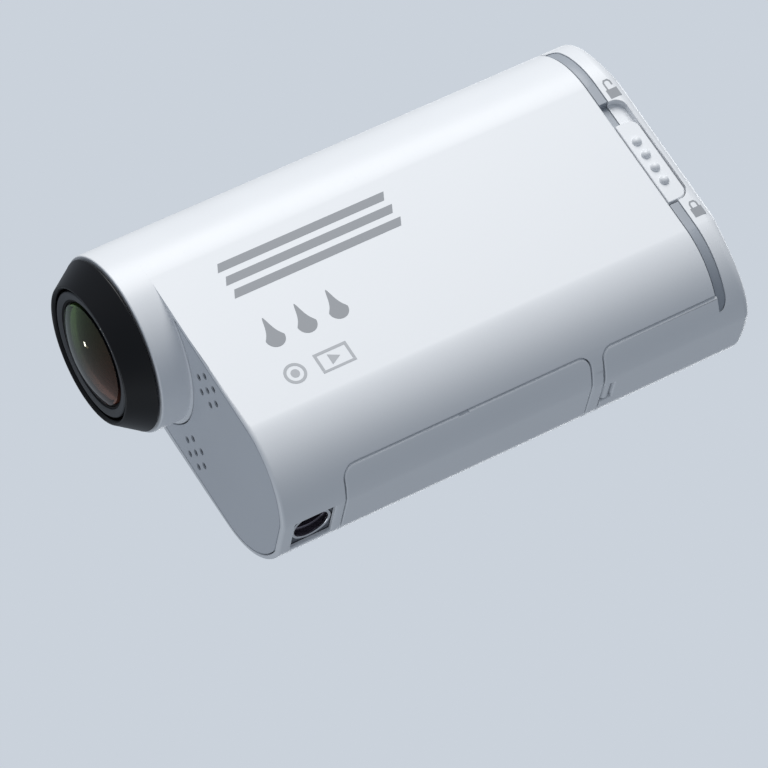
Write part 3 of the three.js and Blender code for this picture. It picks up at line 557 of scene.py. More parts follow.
def turned(points, steps=128):
    """A solid of revolution about the lens axis from radius and depth pairs in millimetres."""
    bm = bmesh.new()
    rim = [bm.verts.new((radius * mm, lens_front + depth * mm, axis_z)) for radius, depth in points]
    edges = [bm.edges.new(pair) for pair in zip(rim, rim[1:])]
    if points[0][0] > 0:
        edges.append(bm.edges.new((rim[-1], rim[0])))
    spun(bm, rim + edges, (0, 0, axis_z), (0, 1, 0), steps)
    return bm


anodised = moulded("black_anodised", (0.004, 0.0042, 0.0055), 0.36, grain=0.25, grain_size=0.12,
                   mottle=0.15, sheen=0.3)
rim_radius = bezel_high.x / mm
bezel = turned([(8.98, 0.42), (9.2, 0.06), (9.36, 0.0), (9.52, 0.08), (rim_radius - 0.1, 3.22),
                (rim_radius, 3.32), (rim_radius - 0.02, 3.5), (9.9, 3.5), (9.9, 6.8), (7.7, 6.8),
                (7.7, 1.8), (8.98, 1.8)])
soften(bezel, 0.05 * mm, segments=2, least=15)
finish_piece(bezel, "bezel_cone", anodised, "camera_body", "bezel_black", "lens_bezel", angle=50)

# ---- Retaining ring ----
# The dark grey ring that holds the front element: a shallow dish with a groove outside it and
# two fine steps towards the glass.
ring_paint = moulded("ring_paint", (0.035, 0.038, 0.043), 0.42, grain=0.3, grain_size=0.1,
                     mottle=0.1)
ring = turned([(6.98, 1.5), (6.98, 0.86), (7.14, 0.84), (7.2, 0.62), (7.42, 0.6), (7.5, 0.46),
               (8.42, 0.3), (8.6, 0.42), (8.68, 1.5)])
soften(ring, 0.04 * mm, segments=2, least=20)
# The inner steps down to the glass are near-black: painted shade in the gap to the glass.
ring_step_painted_shade = moulded("ring_step_painted_shade", (0.004, 0.004, 0.005), 0.6, grain_size=0.1, sheen=0.2)
for face in ring.faces:
    middle = face.calc_center_median()
    if math.hypot(middle.x, middle.z - axis_z) < 7.46 * mm:
        face.material_index = 1
holder = finish_piece(ring, "holding_ring", ring_paint, "camera_body", "ring_grey",
                      "lens_retaining_ring", angle=40)
holder.data.materials.append(ring_step_painted_shade)

# ---- Optics ----
# A bulging front element with a multi-layer coating, a bowl of black baffles behind it and
# two inner groups. The glass and the bowl carry painted reflection, green towards the top and
# amber towards the bottom; in the bowl it fades to painted shade deeper in and towards +X.


def ramp(tree, *stops):
    """A colour ramp through stops, each a place and a colour."""
    made = add(tree, "ValToRGB")
    elements = made.color_ramp.elements
    for stop, (place, colour) in zip(elements, (stops[0], stops[-1])):
        stop.position = place
        stop.color = (*colour, 1)
    for place, colour in stops[1:-1]:
        elements.new(place).color = (*colour, 1)
    return made


def smeared(place, surface, size, least, most, start=0.0):
    """Uneven gloss on glass: a roughness that drifts between two values."""
    tree = surface.id_data
    dust = add(tree, "TexNoise", Scale=1 / size)
    feed(place, "Object", dust, "Vector")
    smear = add(tree, "MapRange", From_Min=start, To_Min=least, To_Max=most)
    feed(dust, "Fac", smear, "Value")
    feed(smear, "Result", surface, "Roughness")


coating, tree, surface, place = new_finish("coated_glass", Transmission_Weight=1.0, IOR=1.62,
                                           Specular_IOR_Level=0.2)
split = add(tree, "SeparateXYZ")
feed(place, "Object", split, "Vector")
level = add(tree, "MapRange", From_Min=axis_z - 6.9 * mm, From_Max=axis_z + 6.9 * mm)
feed(split, "Z", level, "Value")
# Painted reflection: the glass's reflection tint and its own colour change with height, green
# towards the top and amber towards the bottom.
painted_reflection_tint = ramp(tree, (0.12, (1.0, 0.62, 0.42)), (0.85, (0.62, 1.0, 0.42)))
painted_reflection_in_glass = ramp(tree, (0.1, (0.34, 0.15, 0.1)), (0.5, (0.06, 0.05, 0.035)),
                   (0.95, (0.16, 0.3, 0.07)))
for tint, socket in ((painted_reflection_tint, "Specular Tint"), (painted_reflection_in_glass, "Base Color")):
    feed(level, "Result", tint, "Fac")
    feed(tint, "Color", surface, socket)
smeared(place, surface, 0.6 * mm, 0.0, 0.02, start=0.45)


def cap_curve(radius, edge, pole, steps=16):
    """Points along a spherical cap, from the axis out to its edge."""
    bulge = edge - pole
    sphere = (radius ** 2 + bulge ** 2) / (2 * bulge)
    reach = math.asin(radius / abs(sphere))
    return [(abs(sphere) * math.sin(reach * i / steps),
             pole + sphere * (1 - math.cos(reach * i / steps))) for i in range(steps + 1)]


front_curve = cap_curve(6.85, 0.4, -1.06)
back_curve = cap_curve(6.3, 1.9, 0.35)
front_glass = turned(front_curve + [(6.88, 0.55), (6.88, 1.9)] + back_curve[::-1], 96)
# The glass's rim takes the bowl's material, so it shows the same painted reflection.
painted = [f for f in front_glass.faces if all(
    math.hypot(v.co.x, v.co.z - axis_z) > 6.28 * mm and v.co.y > lens_front + 0.38 * mm
    for v in f.verts)]
for face in painted:
    face.material_index = 1
element = finish_piece(front_glass, "front_element", coating, "camera_body", "coated_glass",
                       "front_lens")

# The bowl's colour is painted light: a painted reflection, amber below and green above, strongest
# near the front towards -X, fading to painted shade deeper in and towards +X.
bowl_painted_light, tree, surface, place = new_finish("bowl_painted_reflection_and_shade", Roughness=0.55,
                                             Specular_IOR_Level=0.15)
turned_to = add(tree, "Mapping")
turned_to.vector_type = "TEXTURE"
tune(turned_to, Location=(0, lens_front, axis_z), Rotation=(0, math.radians(25), 0),
     Scale=(6.6 * mm, 6.6 * mm, 6.6 * mm))
feed(place, "Object", turned_to, "Vector")
split = add(tree, "SeparateXYZ")
feed(turned_to, "Vector", split, "Vector")
level = add(tree, "MapRange", From_Min=-1)
feed(split, "Z", level, "Value")
painted_reflection_colours = ramp(tree, (0.05, (0.38, 0.13, 0.075)), (0.36, (0.15, 0.05, 0.038)),
            (0.52, (0.03, 0.025, 0.014)), (0.7, (0.03, 0.06, 0.012)), (0.95, (0.13, 0.25, 0.045)))
feed(level, "Result", painted_reflection_colours, "Fac")
painted_shade_with_depth = add(tree, "MapRange", From_Min=0.8, From_Max=0.3, To_Min=0.03)
painted_shade_with_depth.interpolation_type = "SMOOTHSTEP"
feed(split, "Y", painted_shade_with_depth, "Value")
painted_shade_to_plus_x = add(tree, "MapRange", From_Min=0.75, From_Max=-0.8)
feed(split, "X", painted_shade_to_plus_x, "Value")
painted_light_share = add(tree, "Math")
painted_light_share.operation = "MULTIPLY"
feed(painted_shade_with_depth, "Result", painted_light_share, 0)
feed(painted_shade_to_plus_x, "Result", painted_light_share, 1)
painted_shade_and_reflection = add(tree, "Mix")
painted_shade_and_reflection.data_type = "RGBA"
painted_shade_and_reflection.inputs[6].default_value = (0.002, 0.002, 0.003, 1)
feed(painted_light_share, "Value", painted_shade_and_reflection, 0)
feed(painted_reflection_colours, "Color", painted_shade_and_reflection, 7)
feed(painted_shade_and_reflection, 2, surface, "Base Color")
element.data.materials.append(bowl_painted_light)
bowl = turned([(6.5, 2.0), (6.9, 2.0), (7.4, 2.5), (7.4, 7.5), (6.0, 7.5), (6.0, 17.6), (4.4, 17.6),
               (4.4, 7.4), (4.5, 5.6), (4.8, 5.6), (4.82, 4.6), (5.2, 4.6), (5.22, 3.6), (5.7, 3.6),
               (5.74, 2.8), (6.2, 2.8), (6.24, 2.3), (6.5, 2.3)], 96)
foot_low, foot_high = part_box("lens_barrel")
foot = block((foot_low.x, foot_high.y - 1.2 * mm, foot_low.z), foot_high, mm, 1)
for screw in ("sensor_board_screw_low", "sensor_board_screw_high"):
    low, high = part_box(screw)
    x, z = (low.x + high.x) / 2, (low.z + high.z) / 2
    foot = cut(foot, peg(0.65 * mm, (x, foot_high.y - 3 * mm, z), (x, foot_high.y + mm, z)))
foot = cut(foot, peg(5 * mm, (0, foot_low.y, axis_z), (0, foot_high.y + mm, axis_z)))
bowl = join(bowl, foot)
finish_piece(bowl, "lens_bowl", bowl_painted_light, "camera_body", "bezel_black", "lens_barrel", angle=25)

inner_coating, tree, surface, place = new_finish("inner_coating", Roughness=0.05, Coat_Weight=0.3,
                                                 Coat_Tint=(1.0, 0.62, 0.5, 1))
depth = add(tree, "TexNoise", Scale=120)
feed(place, "Object", depth, "Vector")
bloom = ramp(tree, (0, (0.012, 0.006, 0.008)), (1, (0.04, 0.014, 0.016)))
feed(depth, "Fac", bloom, "Fac")
feed(bloom, "Color", surface, "Base Color")
second = turned(cap_curve(4.7, 5.0, 3.7) + [(4.7, 6.6), (0, 6.6)], 96)
finish_piece(second, "second_element", inner_coating, "camera_body", "coated_glass",
             "second_lens")
coat(inner_coating, "rear_lens_group")

# ---- Tripod socket ----
# A nickel-plated brass insert with a quarter-inch thread, painted darker inside the bore than at
# its mouth as painted shade, held up behind a dark plate that shows in the square window of the
# underside.
plate_paint = moulded("plate_paint", (0.13, 0.14, 0.16), 0.38, grain=0.4, grain_size=0.12,
                      mottle=0.12)
plate = block(window[0], window[1], 0.4 * mm)
hole = peg(2.92 * mm, (0, window_middle, -mm), (0, window_middle, 8 * mm), 96)
plate = cut(plate, hole)
soften(plate, 0.12 * mm)
finish_piece(plate, "socket_plate", plate_paint, "camera_body", "dark_plastic", "tripod_plate")

socket_low, socket_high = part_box("tripod_socket")
here = (0, window_middle)
sleeve = join(peg(2.86 * mm, (*here, socket_low.z), (*here, window[1].z + 0.5 * mm), 96),
              peg(3.15 * mm, (*here, window[1].z + gap), (*here, socket_high.z), 96))
sleeve = cut(sleeve, peg(2.72 * mm, (*here, socket_low.z + 0.35 * mm),
                         (*here, socket_high.z - mm), 96))
sleeve = cut(sleeve, peg(2.45 * mm, (*here, -mm), (*here, socket_low.z + mm), 96))
soften(sleeve, 0.1 * mm, segments=3)
pitch, turns_of_thread, per_turn = 1.27 * mm, 4, 48
rib = [sleeve.verts.new((radius * mm, window_middle, socket_low.z + rise * mm))
       for radius, rise in ((2.74, 0.62), (2.5, 0.8), (2.5, 0.92), (2.74, 1.1))]
loop = [sleeve.edges.new(pair) for pair in zip(rib, rib[1:] + rib[:1])]
bmesh.ops.spin(sleeve, geom=rib + loop, cent=(0, window_middle, 0), axis=(0, 0, 1),
               dvec=(0, 0, pitch / per_turn), angle=2 * math.pi * turns_of_thread,
               steps=per_turn * turns_of_thread, use_merge=False, use_duplicate=False)
bmesh.ops.holes_fill(sleeve, edges=sleeve.edges, sides=4)
bmesh.ops.recalc_face_normals(sleeve, faces=sleeve.faces)
# The faces inside the bore take a darker metal: painted shade in the recess.
for face in sleeve.faces:
    middle = face.calc_center_median()
    face.material_index = (math.hypot(middle.x, middle.y - window_middle) < 2.74 * mm
                           and middle.z > socket_low.z + 0.3 * mm)
insert = finish_piece(sleeve, "threaded_socket", nickel, "camera_body", "socket_steel",
                      "tripod_socket")
insert.data.materials.append(metal("bore_painted_shade", (0.36, 0.33, 0.38), 0.3))

# ---- Connector cover ----
# A long door over the sockets that follows the keel's skin, on a steel pin along the camera's
# right. Its edges are rolled, and a thumbnail notch on the far edge opens it.
edge_y = 0.05 * mm


def skin_plate(half, y0, y1, corner, depth, back=None):
    """A plate of the camera's skin: a round-cornered outline as deep as the wall."""
    back = y1 if back is None else back
    prism = block((-half, y0, -mm), (half, back, keel_floor), corner, steps=10)
    prism = common(prism, bar(y0 - mm, back + mm))
    return cut(prism, bar(y0 - 2 * mm, back + 2 * mm, depth))


door = skin_plate(cover_high.x + edge_y, cover_low.y - edge_y, cover_high.y + edge_y,
                  1.55 * mm, cover_wall)
corner_cut = block((-20 * mm, cover_low.y - mm, side_pin.z),
                   (side_pin.x, cover_high.y + mm, keel_floor))
corner_cut = cut(corner_cut, peg(mm, (side_pin.x, cover_low.y - 2 * mm, side_pin.z),
                                 (side_pin.x, cover_high.y + 2 * mm, side_pin.z)))
door = cut(door, corner_cut)
knuckle = peg(0.8 * mm, (side_pin.x, cover_low.y + 1.85 * mm, side_pin.z),
              (side_pin.x, cover_high.y - 1.85 * mm, side_pin.z))
door = join(door, knuckle)
door = cut(door, peg(0.5 * mm, (side_pin.x, cover_low.y - mm, side_pin.z),
                     (side_pin.x, cover_high.y + mm, side_pin.z), 24))
notch_y = cover_low.y + 17.65 * mm
notch = block((cover_high.x - 0.15 * mm, notch_y - 0.7 * mm, mm),
              (cover_high.x + mm, notch_y + 0.7 * mm, 3 * mm), 0.2 * mm, 0)
door = cut(door, notch)
soften(door, 0.16 * mm, segments=3, keep=on_skin)
finish_piece(door, "connector_door", white_plastic, "connector_cover", "white_shell",
             "connector_cover")
rubber = moulded("seal_rubber", (0.018, 0.018, 0.02), 0.7, grain=0.8, grain_size=0.15,
                 mottle=0.2, sheen=0.3)
coat(rubber, "connector_cover_seal", "lens_seal")
coat(nickel, "connector_cover_hinge_pin")

# ---- Rear cover ----
# The cap that closes the battery's end, domed behind, with a tongue that runs forward under the
# body to its hinge. Satin white like the shell, with a groove on each side for a grey band and a
# sunk track for the lock lever.
cap_front = shell_back + gap
cap_back = rear_high.y
lever_low, lever_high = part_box("lock_lever")
lever_face = half_width - 0.9 * mm
dome_depth, dome_fall = 10 * mm, 2.6 * mm
dome_spread = 1 / math.sqrt(1 - (1 - dome_fall / dome_depth) ** 2)
middle_z = shell_high.z / 2


def dome_at(v):
    """How far back the cap's domed end reaches behind a vertex."""
    share = math.hypot(v.co.x / half_width, (v.co.z - middle_z) / middle_z) / dome_spread
    return cap_back - dome_depth + dome_depth * math.sqrt(1 - share ** 2)


tongue_y = rear_low.y - edge_y
cap = bmesh.new()
end = pull(cap, [outline(cap, tongue_y)], (0, mm, 0))[0]
fillet = 0.85 * mm
for v in end.verts:
    v.co.y = dome_at(v) - fillet
for i in range(1, 7):
    turn = math.pi / 2 * i / 6
    step = fillet * (math.cos(math.pi / 2 * (i - 1) / 6) - math.cos(turn))
    bmesh.ops.inset_region(cap, faces=[end], thickness=step, use_even_offset=True,
                           use_boundary=True)
    for v in end.verts:
        v.co.y = dome_at(v) - fillet * (1 - math.sin(turn))
for i in range(1, 12):
    under = end
    end = pull(cap, [end], (0, 0, 0))[0]
    bmesh.ops.delete(cap, geom=[under], context="FACES_ONLY")
    share = (12 - i) / (13 - i)
    bmesh.ops.scale(cap, vec=(share, 1, share), space=Matrix.Translation((0, 0, -middle_z)),
                    verts=end.verts)
    for v in end.verts:
        v.co.y = dome_at(v)
bmesh.ops.poke(cap, faces=[end])
bmesh.ops.recalc_face_normals(cap, faces=cap.faces)
cap = cut(cap, bar(cap_front - 0.5 * mm, cap_back - dome_fall - 1.2 * mm, 1.8 * mm))
ahead = block((-20 * mm, tongue_y - mm, -mm), (20 * mm, cap_front, 60 * mm))
ahead = cut(ahead, block((-cover_high.x - edge_y, tongue_y, -2 * mm),
                         (cover_high.x + edge_y, cap_front + 5 * mm, keel_floor - 0.02 * mm),
                         1.3 * mm, steps=10))
cap = cut(cap, ahead)
cap = cut(cap, bar(tongue_y - 2 * mm, cap_front + 0.3 * mm, cover_wall))
band_groove = shell_back + 1.45 * mm
for side in (-1, 1):
    near, far = sorted((side * 4 * mm, side * 20 * mm))
    groove = block((near, shell_back - 2.6 * mm, mm),
                   (far, band_groove, shell_high.z - 2.8 * mm), 1.15 * mm, 0, 10)
    groove = cut(groove, block((near - mm, cap_front - 5 * mm, 0),
                               (far + mm, cap_front - 0.05 * mm, 50 * mm)))
    cap = cut(cap, groove)
recess = block((lever_face - 0.15 * mm, shell_back - 3 * mm, lever_low.z - 0.18 * mm),
               (half_width + mm, lever_high.y + 0.18 * mm, lever_high.z + 3.4 * mm + 0.18 * mm),
               1.5 * mm, 0, 10)
cap = cut(cap, recess)
cap = cut(cap, block((half_width - 2.8 * mm, cap_front + 1.2 * mm, lever_low.z + 2.7 * mm),
                     (half_width, cap_front + 2.6 * mm, lever_low.z + 12.7 * mm)))
cap = join(cap, peg(0.7 * mm, (-3.6 * mm, *rear_pin.yz), (3.6 * mm, *rear_pin.yz)))
cap = cut(cap, block((-1.8 * mm, rear_low.y - mm, -mm),
                     (1.8 * mm, rear_pin.y + 0.9 * mm, rear_pin.z + 3 * mm)))
cap = cut(cap, peg(0.5 * mm, (-4 * mm, *rear_pin.yz), (4 * mm, *rear_pin.yz), 24))
soften(cap, 0.06 * mm, keep=lambda e: on_skin(e)
       and max(v.co.y for v in e.verts) > cap_front + 0.1 * mm)
soften(cap, 0.2 * mm, segments=3, keep=lambda e: on_skin(e)
       and max(v.co.y for v in e.verts) < cap_front + 0.05 * mm)
finish_piece(cap, "rear_cap", white_plastic, "rear_cover", "white_shell", "rear_cover")
coat(rubber, "rear_cover_seal")
coat(nickel, "rear_cover_hinge_pin")

# ---- Side bands ----
# Two grey strips clipped into the grooves between the body and the cap, a little below the skin.
# The left one is cut away where the lock lever slides.
band_plastic = moulded("band_plastic", (0.362, 0.392, 0.435), 0.42, grain=0.4, grain_size=0.2,
                       mottle=0.04)
for name, side in (("right", -1), ("left", 1)):
    strip = cut(bar(cap_front - 0.2 * mm, band_groove - 0.04 * mm, 0.14 * mm),
                bar(cap_front - mm, band_groove + mm, 1.8 * mm))
    near, far = sorted((side * (4.1 * mm), side * 20 * mm))
    strip = common(strip, block((near, shell_back - 2.6 * mm, 1.08 * mm),
                                (far, band_groove - 0.04 * mm, shell_high.z - 2.88 * mm),
                                1.1 * mm, 0, 10))
    if side > 0:
        strip = cut(strip, block((lever_face - gap, 0, lever_low.z - gap),
                                 (20 * mm, 60 * mm, lever_high.z + 3.7 * mm)))
    soften(strip, 0.1 * mm, segments=2)
    finish_piece(strip, f"grey_band_{name}", band_plastic, "rear_cover", "band_grey",
                 f"rear_band_{name}")

# ---- Lock lever ----
# A white slide with four grip domes, riding up and down in its track. Its foot grips the wall of
# the cap from behind.
lever = block((lever_face, cap_front - 3 * mm, lever_low.z),
              (lever_face + 0.8 * mm, lever_high.y, lever_high.z), 1.3 * mm, 0, 10)
lever = common(lever, block((0, cap_front - 0.12 * mm, 0), (20 * mm, 60 * mm, 60 * mm)))
soften(lever, 0.16 * mm, segments=3, keep=lambda e: max(v.co.x for v in e.verts)
       > lever_face + 0.7 * mm)
lever_middle = (lever_low.z + lever_high.z) / 2
for row in range(4):
    bump = bmesh.new()
    at = (lever_face + 0.76 * mm, cap_front + 1.2 * mm, lever_middle + (row - 1.5) * 2.2 * mm)
    bmesh.ops.create_uvsphere(bump, u_segments=32, v_segments=16, radius=0.66 * mm,
                              matrix=Matrix.Translation(at))
    lever = join(lever, bump)
stem = block((half_width - 2.7 * mm, cap_front + 1.5 * mm, lever_low.z + 3 * mm),
             (lever_face + 0.1 * mm, cap_front + 2.3 * mm, lever_low.z + 9 * mm))
shoe = block((half_width - 3 * mm, cap_front + 0.9 * mm, lever_low.z + 2 * mm),
             (half_width - 2.1 * mm, cap_front + 2.9 * mm, lever_low.z + 10 * mm))
lever = join(lever, stem, shoe)
finish_piece(lever, "lock_slide", white_plastic, "lock_lever", "white_shell", "lock_lever")

# ---- Connectors ----
# Two folded steel sockets and a black round jack behind the long door, soldered to their board.
coat(nickel, "usb_socket", "hdmi_socket")
jack_plastic = moulded("jack_plastic", (0.012, 0.012, 0.013), 0.45)


def refined(node, name, material, body, slot, width=0.12, least=30):
    """Stands for a CAD node: a merged copy of its shape with its sharp edges rounded."""
    bm = bmesh.new()
    bm.from_mesh(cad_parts[node].data)
    bmesh.ops.remove_doubles(bm, verts=bm.verts, dist=0.001 * mm)
    bmesh.ops.dissolve_limit(bm, angle_limit=math.radians(1), verts=bm.verts, edges=bm.edges)
    soften(bm, width * mm, least=least)
    finish_piece(bm, name, material, body, slot, node)


refined("mic_jack", "jack_body", jack_plastic, "camera_body", "bezel_black", 0.15)

# ---- Printed marks ----
# Pad-printed grey ink on the left side: three plain stripes, three water drops, a lens and
# a film sign, and a padlock at each end of the lever's travel. Each print is a thin closed film.
ink = moulded("grey_ink", (0.30, 0.315, 0.34), 0.45, grain=0.5, grain_size=0.08, mottle=0.05)
pale_ink = moulded("pale_ink", (0.46, 0.475, 0.5), 0.45, grain=0.5, grain_size=0.08, mottle=0.05)
ink_sunk, ink_thick = 0.01 * mm, 0.03 * mm


def film(bm, points):
    """A patch of ink on the flat left side, from its outline in y and z millimetres."""
    face = bm.faces.new([bm.verts.new((half_width - ink_sunk, lens_front + y * mm, z * mm))
                         for y, z in points])
    pull(bm, [face], (ink_thick, 0, 0))


def round_film(bm, y, z, radius, hole=0.0, stretch=0.0):
    """A dot, a ring or a drop of ink."""
    made = bmesh.ops.create_circle(bm, cap_ends=not hole, radius=radius * mm, segments=40, matrix=(
        Matrix.Translation((half_width - ink_sunk, lens_front + y * mm, z * mm))
        @ Matrix.Rotation(math.pi / 2, 4, "Y")))["verts"]
    for v in made:
        up = max(0, (v.co.z - z * mm) / (radius * mm))
        v.co.z += stretch * mm * up ** 4
        v.co.y += (lens_front + y * mm - v.co.y) * 0.6 * up * (stretch > 0)
    if hole:
        ring = bmesh.ops.extrude_edge_only(bm, edges=list({e for v in made for e in v.link_edges}))
        inner = [g for g in ring["geom"] if isinstance(g, bmesh.types.BMVert)]
        share = hole / radius
        bmesh.ops.scale(bm, vec=(1, share, share), verts=inner, space=Matrix.Translation(
            (0, -lens_front - y * mm, -z * mm)))
    pull(bm, list({f for v in made for f in v.link_faces}), (ink_thick, 0, 0))


def padlock(bm, y, z, lift):
    """A padlock 2.6 mm high, its shackle raised when it stands for open."""
    film(bm, [(y - 0.8, z - 1.1), (y - 0.8, z + 0.3), (y + 0.8, z + 0.3), (y + 0.8, z - 1.1)])
    film(bm, [(y - 0.58, z + 0.32), (y - 0.58, z + 0.95 + lift), (y - 0.33, z + 1.35 + lift),
              (y + 0.33, z + 1.35 + lift), (y + 0.58, z + 0.95 + lift), (y + 0.58, z + 0.32 + lift),
              (y + 0.36, z + 0.32 + lift), (y + 0.36, z + 0.9 + lift), (y + 0.2, z + 1.12 + lift),
              (y - 0.2, z + 1.12 + lift), (y - 0.36, z + 0.9 + lift), (y - 0.36, z + 0.32)])


prints = bmesh.new()
for low, high in ((31.6, 32.8), (29.5, 30.7), (27.4, 28.6)):
    film(prints, [(16.6, high), (16, low), (40.4, low), (41, high)])
for i in range(3):
    round_film(prints, 17.6 + 4.6 * i, 20.2, 1.35, stretch=1.9)
padlock(prints, 75.7, 32.9, 0.5)
padlock(prints, 75.7, 12.6, 0.0)
bmesh.ops.recalc_face_normals(prints, faces=prints.faces)
for name, wanted in (("side_prints", lambda v: v.co.y < 20 * mm),
                     ("lock_prints", lambda v: v.co.y >= 20 * mm)):
    kept = prints.copy()
    bmesh.ops.delete(kept, geom=[v for v in kept.verts if not wanted(v)], context="VERTS")
    finish_piece(kept, name, ink, "camera_body" if name == "side_prints" else "rear_cover",
                 "band_grey")
prints.free()
signs = bmesh.new()
round_film(signs, 17.2, 14.6, 1.5, hole=1.1)
round_film(signs, 17.2, 14.6, 0.6)
film(signs, [(20.4, 13.3), (20.4, 15.9), (25.2, 15.9), (25.2, 13.3), (24.8, 13.3), (24.8, 15.5),
             (20.8, 15.5), (20.8, 13.3)])
film(signs, [(20.4, 12.9), (20.4, 13.25), (25.2, 13.25), (25.2, 12.9)])
film(signs, [(22.1, 13.6), (22.1, 15.2), (23.6, 14.4)])
bmesh.ops.recalc_face_normals(signs, faces=signs.faces)
finish_piece(signs, "side_signs", pale_ink, "camera_body", "panel_grey")

# ---- Record button ----
# A round key of grey plastic in the crown of the body, dished for the finger, with a red dot.
key_grey = moulded("key_grey", (0.42, 0.44, 0.47), 0.42, grain=0.4, grain_size=0.2)
key_radius = record_high.x - 0.7 * mm
key = peg(key_radius, (0, record_middle, record_low.z), (0, record_middle, 48 * mm), 96)
key = common(key, bar(record_middle - 9 * mm, record_middle + 9 * mm, 0.12 * mm))
flange = peg(record_high.x, (0, record_middle, record_low.z),
             (0, record_middle, record_low.z + 0.8 * mm), 96)
key = join(key, flange)
soften(key, 0.12 * mm, segments=3)
dish = bmesh.new()
bmesh.ops.create_uvsphere(dish, u_segments=96, v_segments=48, radius=14 * mm,
                          matrix=Matrix.Translation((0, record_middle, 60.1 * mm)))
key = cut(key, dish)
finish_piece(key, "record_key", key_grey, "record_button", "panel_grey", "record_button")
red_ink = moulded("red_ink", (0.55, 0.02, 0.015), 0.35, grain_size=0.1)
dot = bmesh.new()
bmesh.ops.create_circle(dot, cap_ends=True, radius=1.1 * mm, segments=48,
                        matrix=Matrix.Translation((0, record_middle, 46.095 * mm)))
pull(dot, list(dot.faces), (0, 0, 0.06 * mm))
bmesh.ops.recalc_face_normals(dot, faces=dot.faces)
finish_piece(dot, "record_dot", red_ink, "record_button", "lamp_red")

# ---- Display and side controls ----
# On the camera's right: a framed window over a reflective LCD with four counter digits, two
# round keys, a slide switch with a ribbed thumb plate and two small lamps.
dark_plastic = moulded("dark_plastic", (0.03, 0.032, 0.036), 0.42, mottle=0.08)
skin = -half_width
window_low, window_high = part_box("display_window")
surround = block(display_low, (display_low.x + 1.2 * mm, display_high.y, display_high.z),
                 mm, 0, 8)
surround = cut(surround, block((skin - mm, window_low.y - 0.08 * mm, window_low.z - 0.08 * mm),
                               (skin + 3 * mm, window_high.y + 0.08 * mm,
                                window_high.z + 0.08 * mm), 0.55 * mm, 0, 6))
soften(surround, 0.12 * mm, segments=3)
finish_piece(surround, "display_surround", dark_plastic, "camera_body", "dark_plastic",
             "display_frame")
clear, tree, surface, place = new_finish("clear_window", Transmission_Weight=1.0, IOR=1.49,
                                         Base_Color=(0.93, 0.95, 0.94, 1))
smeared(place, surface, 2.5 * mm, 0.02, 0.09)
pane = block(window_low, window_high, 0.45 * mm, 0, 6)
soften(pane, 0.1 * mm, segments=2)
finish_piece(pane, "display_pane", clear, "camera_body", "window_glass", "display_window")

lcd = chequered("lcd_glass", 0.3, 0.2 * mm, (0.24, 0.27, 0.22), (0.27, 0.30, 0.25))
coat(lcd, "lcd_panel")
lcd_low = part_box("lcd_panel")[0]
segments = bmesh.new()
digit_high, digit_wide, stroke = 5.4 * mm, 2.7 * mm, 0.42 * mm
base_z = (window_low.z + window_high.z) / 2
for place_in_row, lit in enumerate(("abcdef", "abcdef", "bc", "abged")):
    left = window_high.y - 3.6 * mm - place_in_row * 3.9 * mm
    for name in lit:
        flat = name in "agd"
        level_z = base_z + {"a": 1, "g": 0, "d": -1, "b": 0.5, "f": 0.5, "c": -0.5,
                            "e": -0.5}[name] * digit_high / 2
        shift = {"b": -0.5, "c": -0.5, "e": 0.5, "f": 0.5}.get(name, 0) * digit_wide
        half_y = (digit_wide / 2 - stroke * 0.7) if flat else stroke / 2
        half_z = stroke / 2 if flat else digit_high / 4 - stroke * 0.7
        bmesh.ops.create_cube(segments, size=2, matrix=Matrix.Translation(
            (lcd_low.x - ink_sunk, left + shift, level_z))
            @ Matrix.Diagonal((ink_thick, half_y, half_z, 1)))
round_edges(segments, segments.edges, 0.02 * mm, 1)
segment_ink = moulded("segment_ink", (0.02, 0.022, 0.03), 0.35, grain_size=0.1)
finish_piece(segments, "counter_digits", segment_ink, "camera_body", "dark_plastic")

for node in ("previous_button", "next_button"):
    low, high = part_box(node)
    middle = (low + high) / 2
    radius = (high.y - low.y) / 2
    key = peg(radius - 0.7 * mm, (low.x, *middle.yz), (high.x, *middle.yz), 64)
    key = join(key, peg(radius, (high.x - mm, *middle.yz), (high.x, *middle.yz), 64))
    soften(key, 0.2 * mm, segments=4)
    finish_piece(key, f"{node}_key", key_grey, node, "panel_grey", node)
    sign = bmesh.new()
    way = 1 if node == "next_button" else -1
    corners = [(low.x - ink_sunk, middle.y - 0.7 * mm, middle.z - way * 0.4 * mm),
               (low.x - ink_sunk, middle.y + 0.7 * mm, middle.z - way * 0.4 * mm),
               (low.x - ink_sunk, middle.y, middle.z + way * 0.6 * mm)]
    face = sign.faces.new([sign.verts.new(corner) for corner in corners])
    pull(sign, [face], (ink_thick, 0, 0))
    bmesh.ops.recalc_face_normals(sign, faces=sign.faces)
    finish_piece(sign, f"{node}_arrow", ink, node, "band_grey")

thumb = block((hold_low.x, hold_low.y, hold_low.z),
              (hold_low.x + 0.7 * mm, hold_high.y, hold_high.z), 0.35 * mm, 0, 6)
for row in range(5):
    z = (hold_low.z + hold_high.z) / 2 + (row - 2) * 0.8 * mm
    thumb = cut(thumb, peg(0.2 * mm, (hold_low.x - 0.06 * mm, hold_low.y - mm, z),
                           (hold_low.x - 0.06 * mm, hold_high.y + mm, z), 20))
soften(thumb, 0.07 * mm, segments=2)
thumb = join(thumb, block((hold_low.x + 0.6 * mm, hold_middle - 0.5 * mm, hold_low.z + 1.5 * mm),
                          (hold_high.x, hold_middle + 0.5 * mm, hold_low.z + 3.5 * mm)))
thumb = join(thumb, block((hold_high.x - 0.9 * mm, hold_middle - 1.5 * mm, hold_low.z + mm),
                          (hold_high.x, hold_middle + 1.5 * mm, hold_low.z + 4 * mm)))
finish_piece(thumb, "hold_thumb", dark_plastic, "hold_switch", "dark_plastic", "hold_switch")


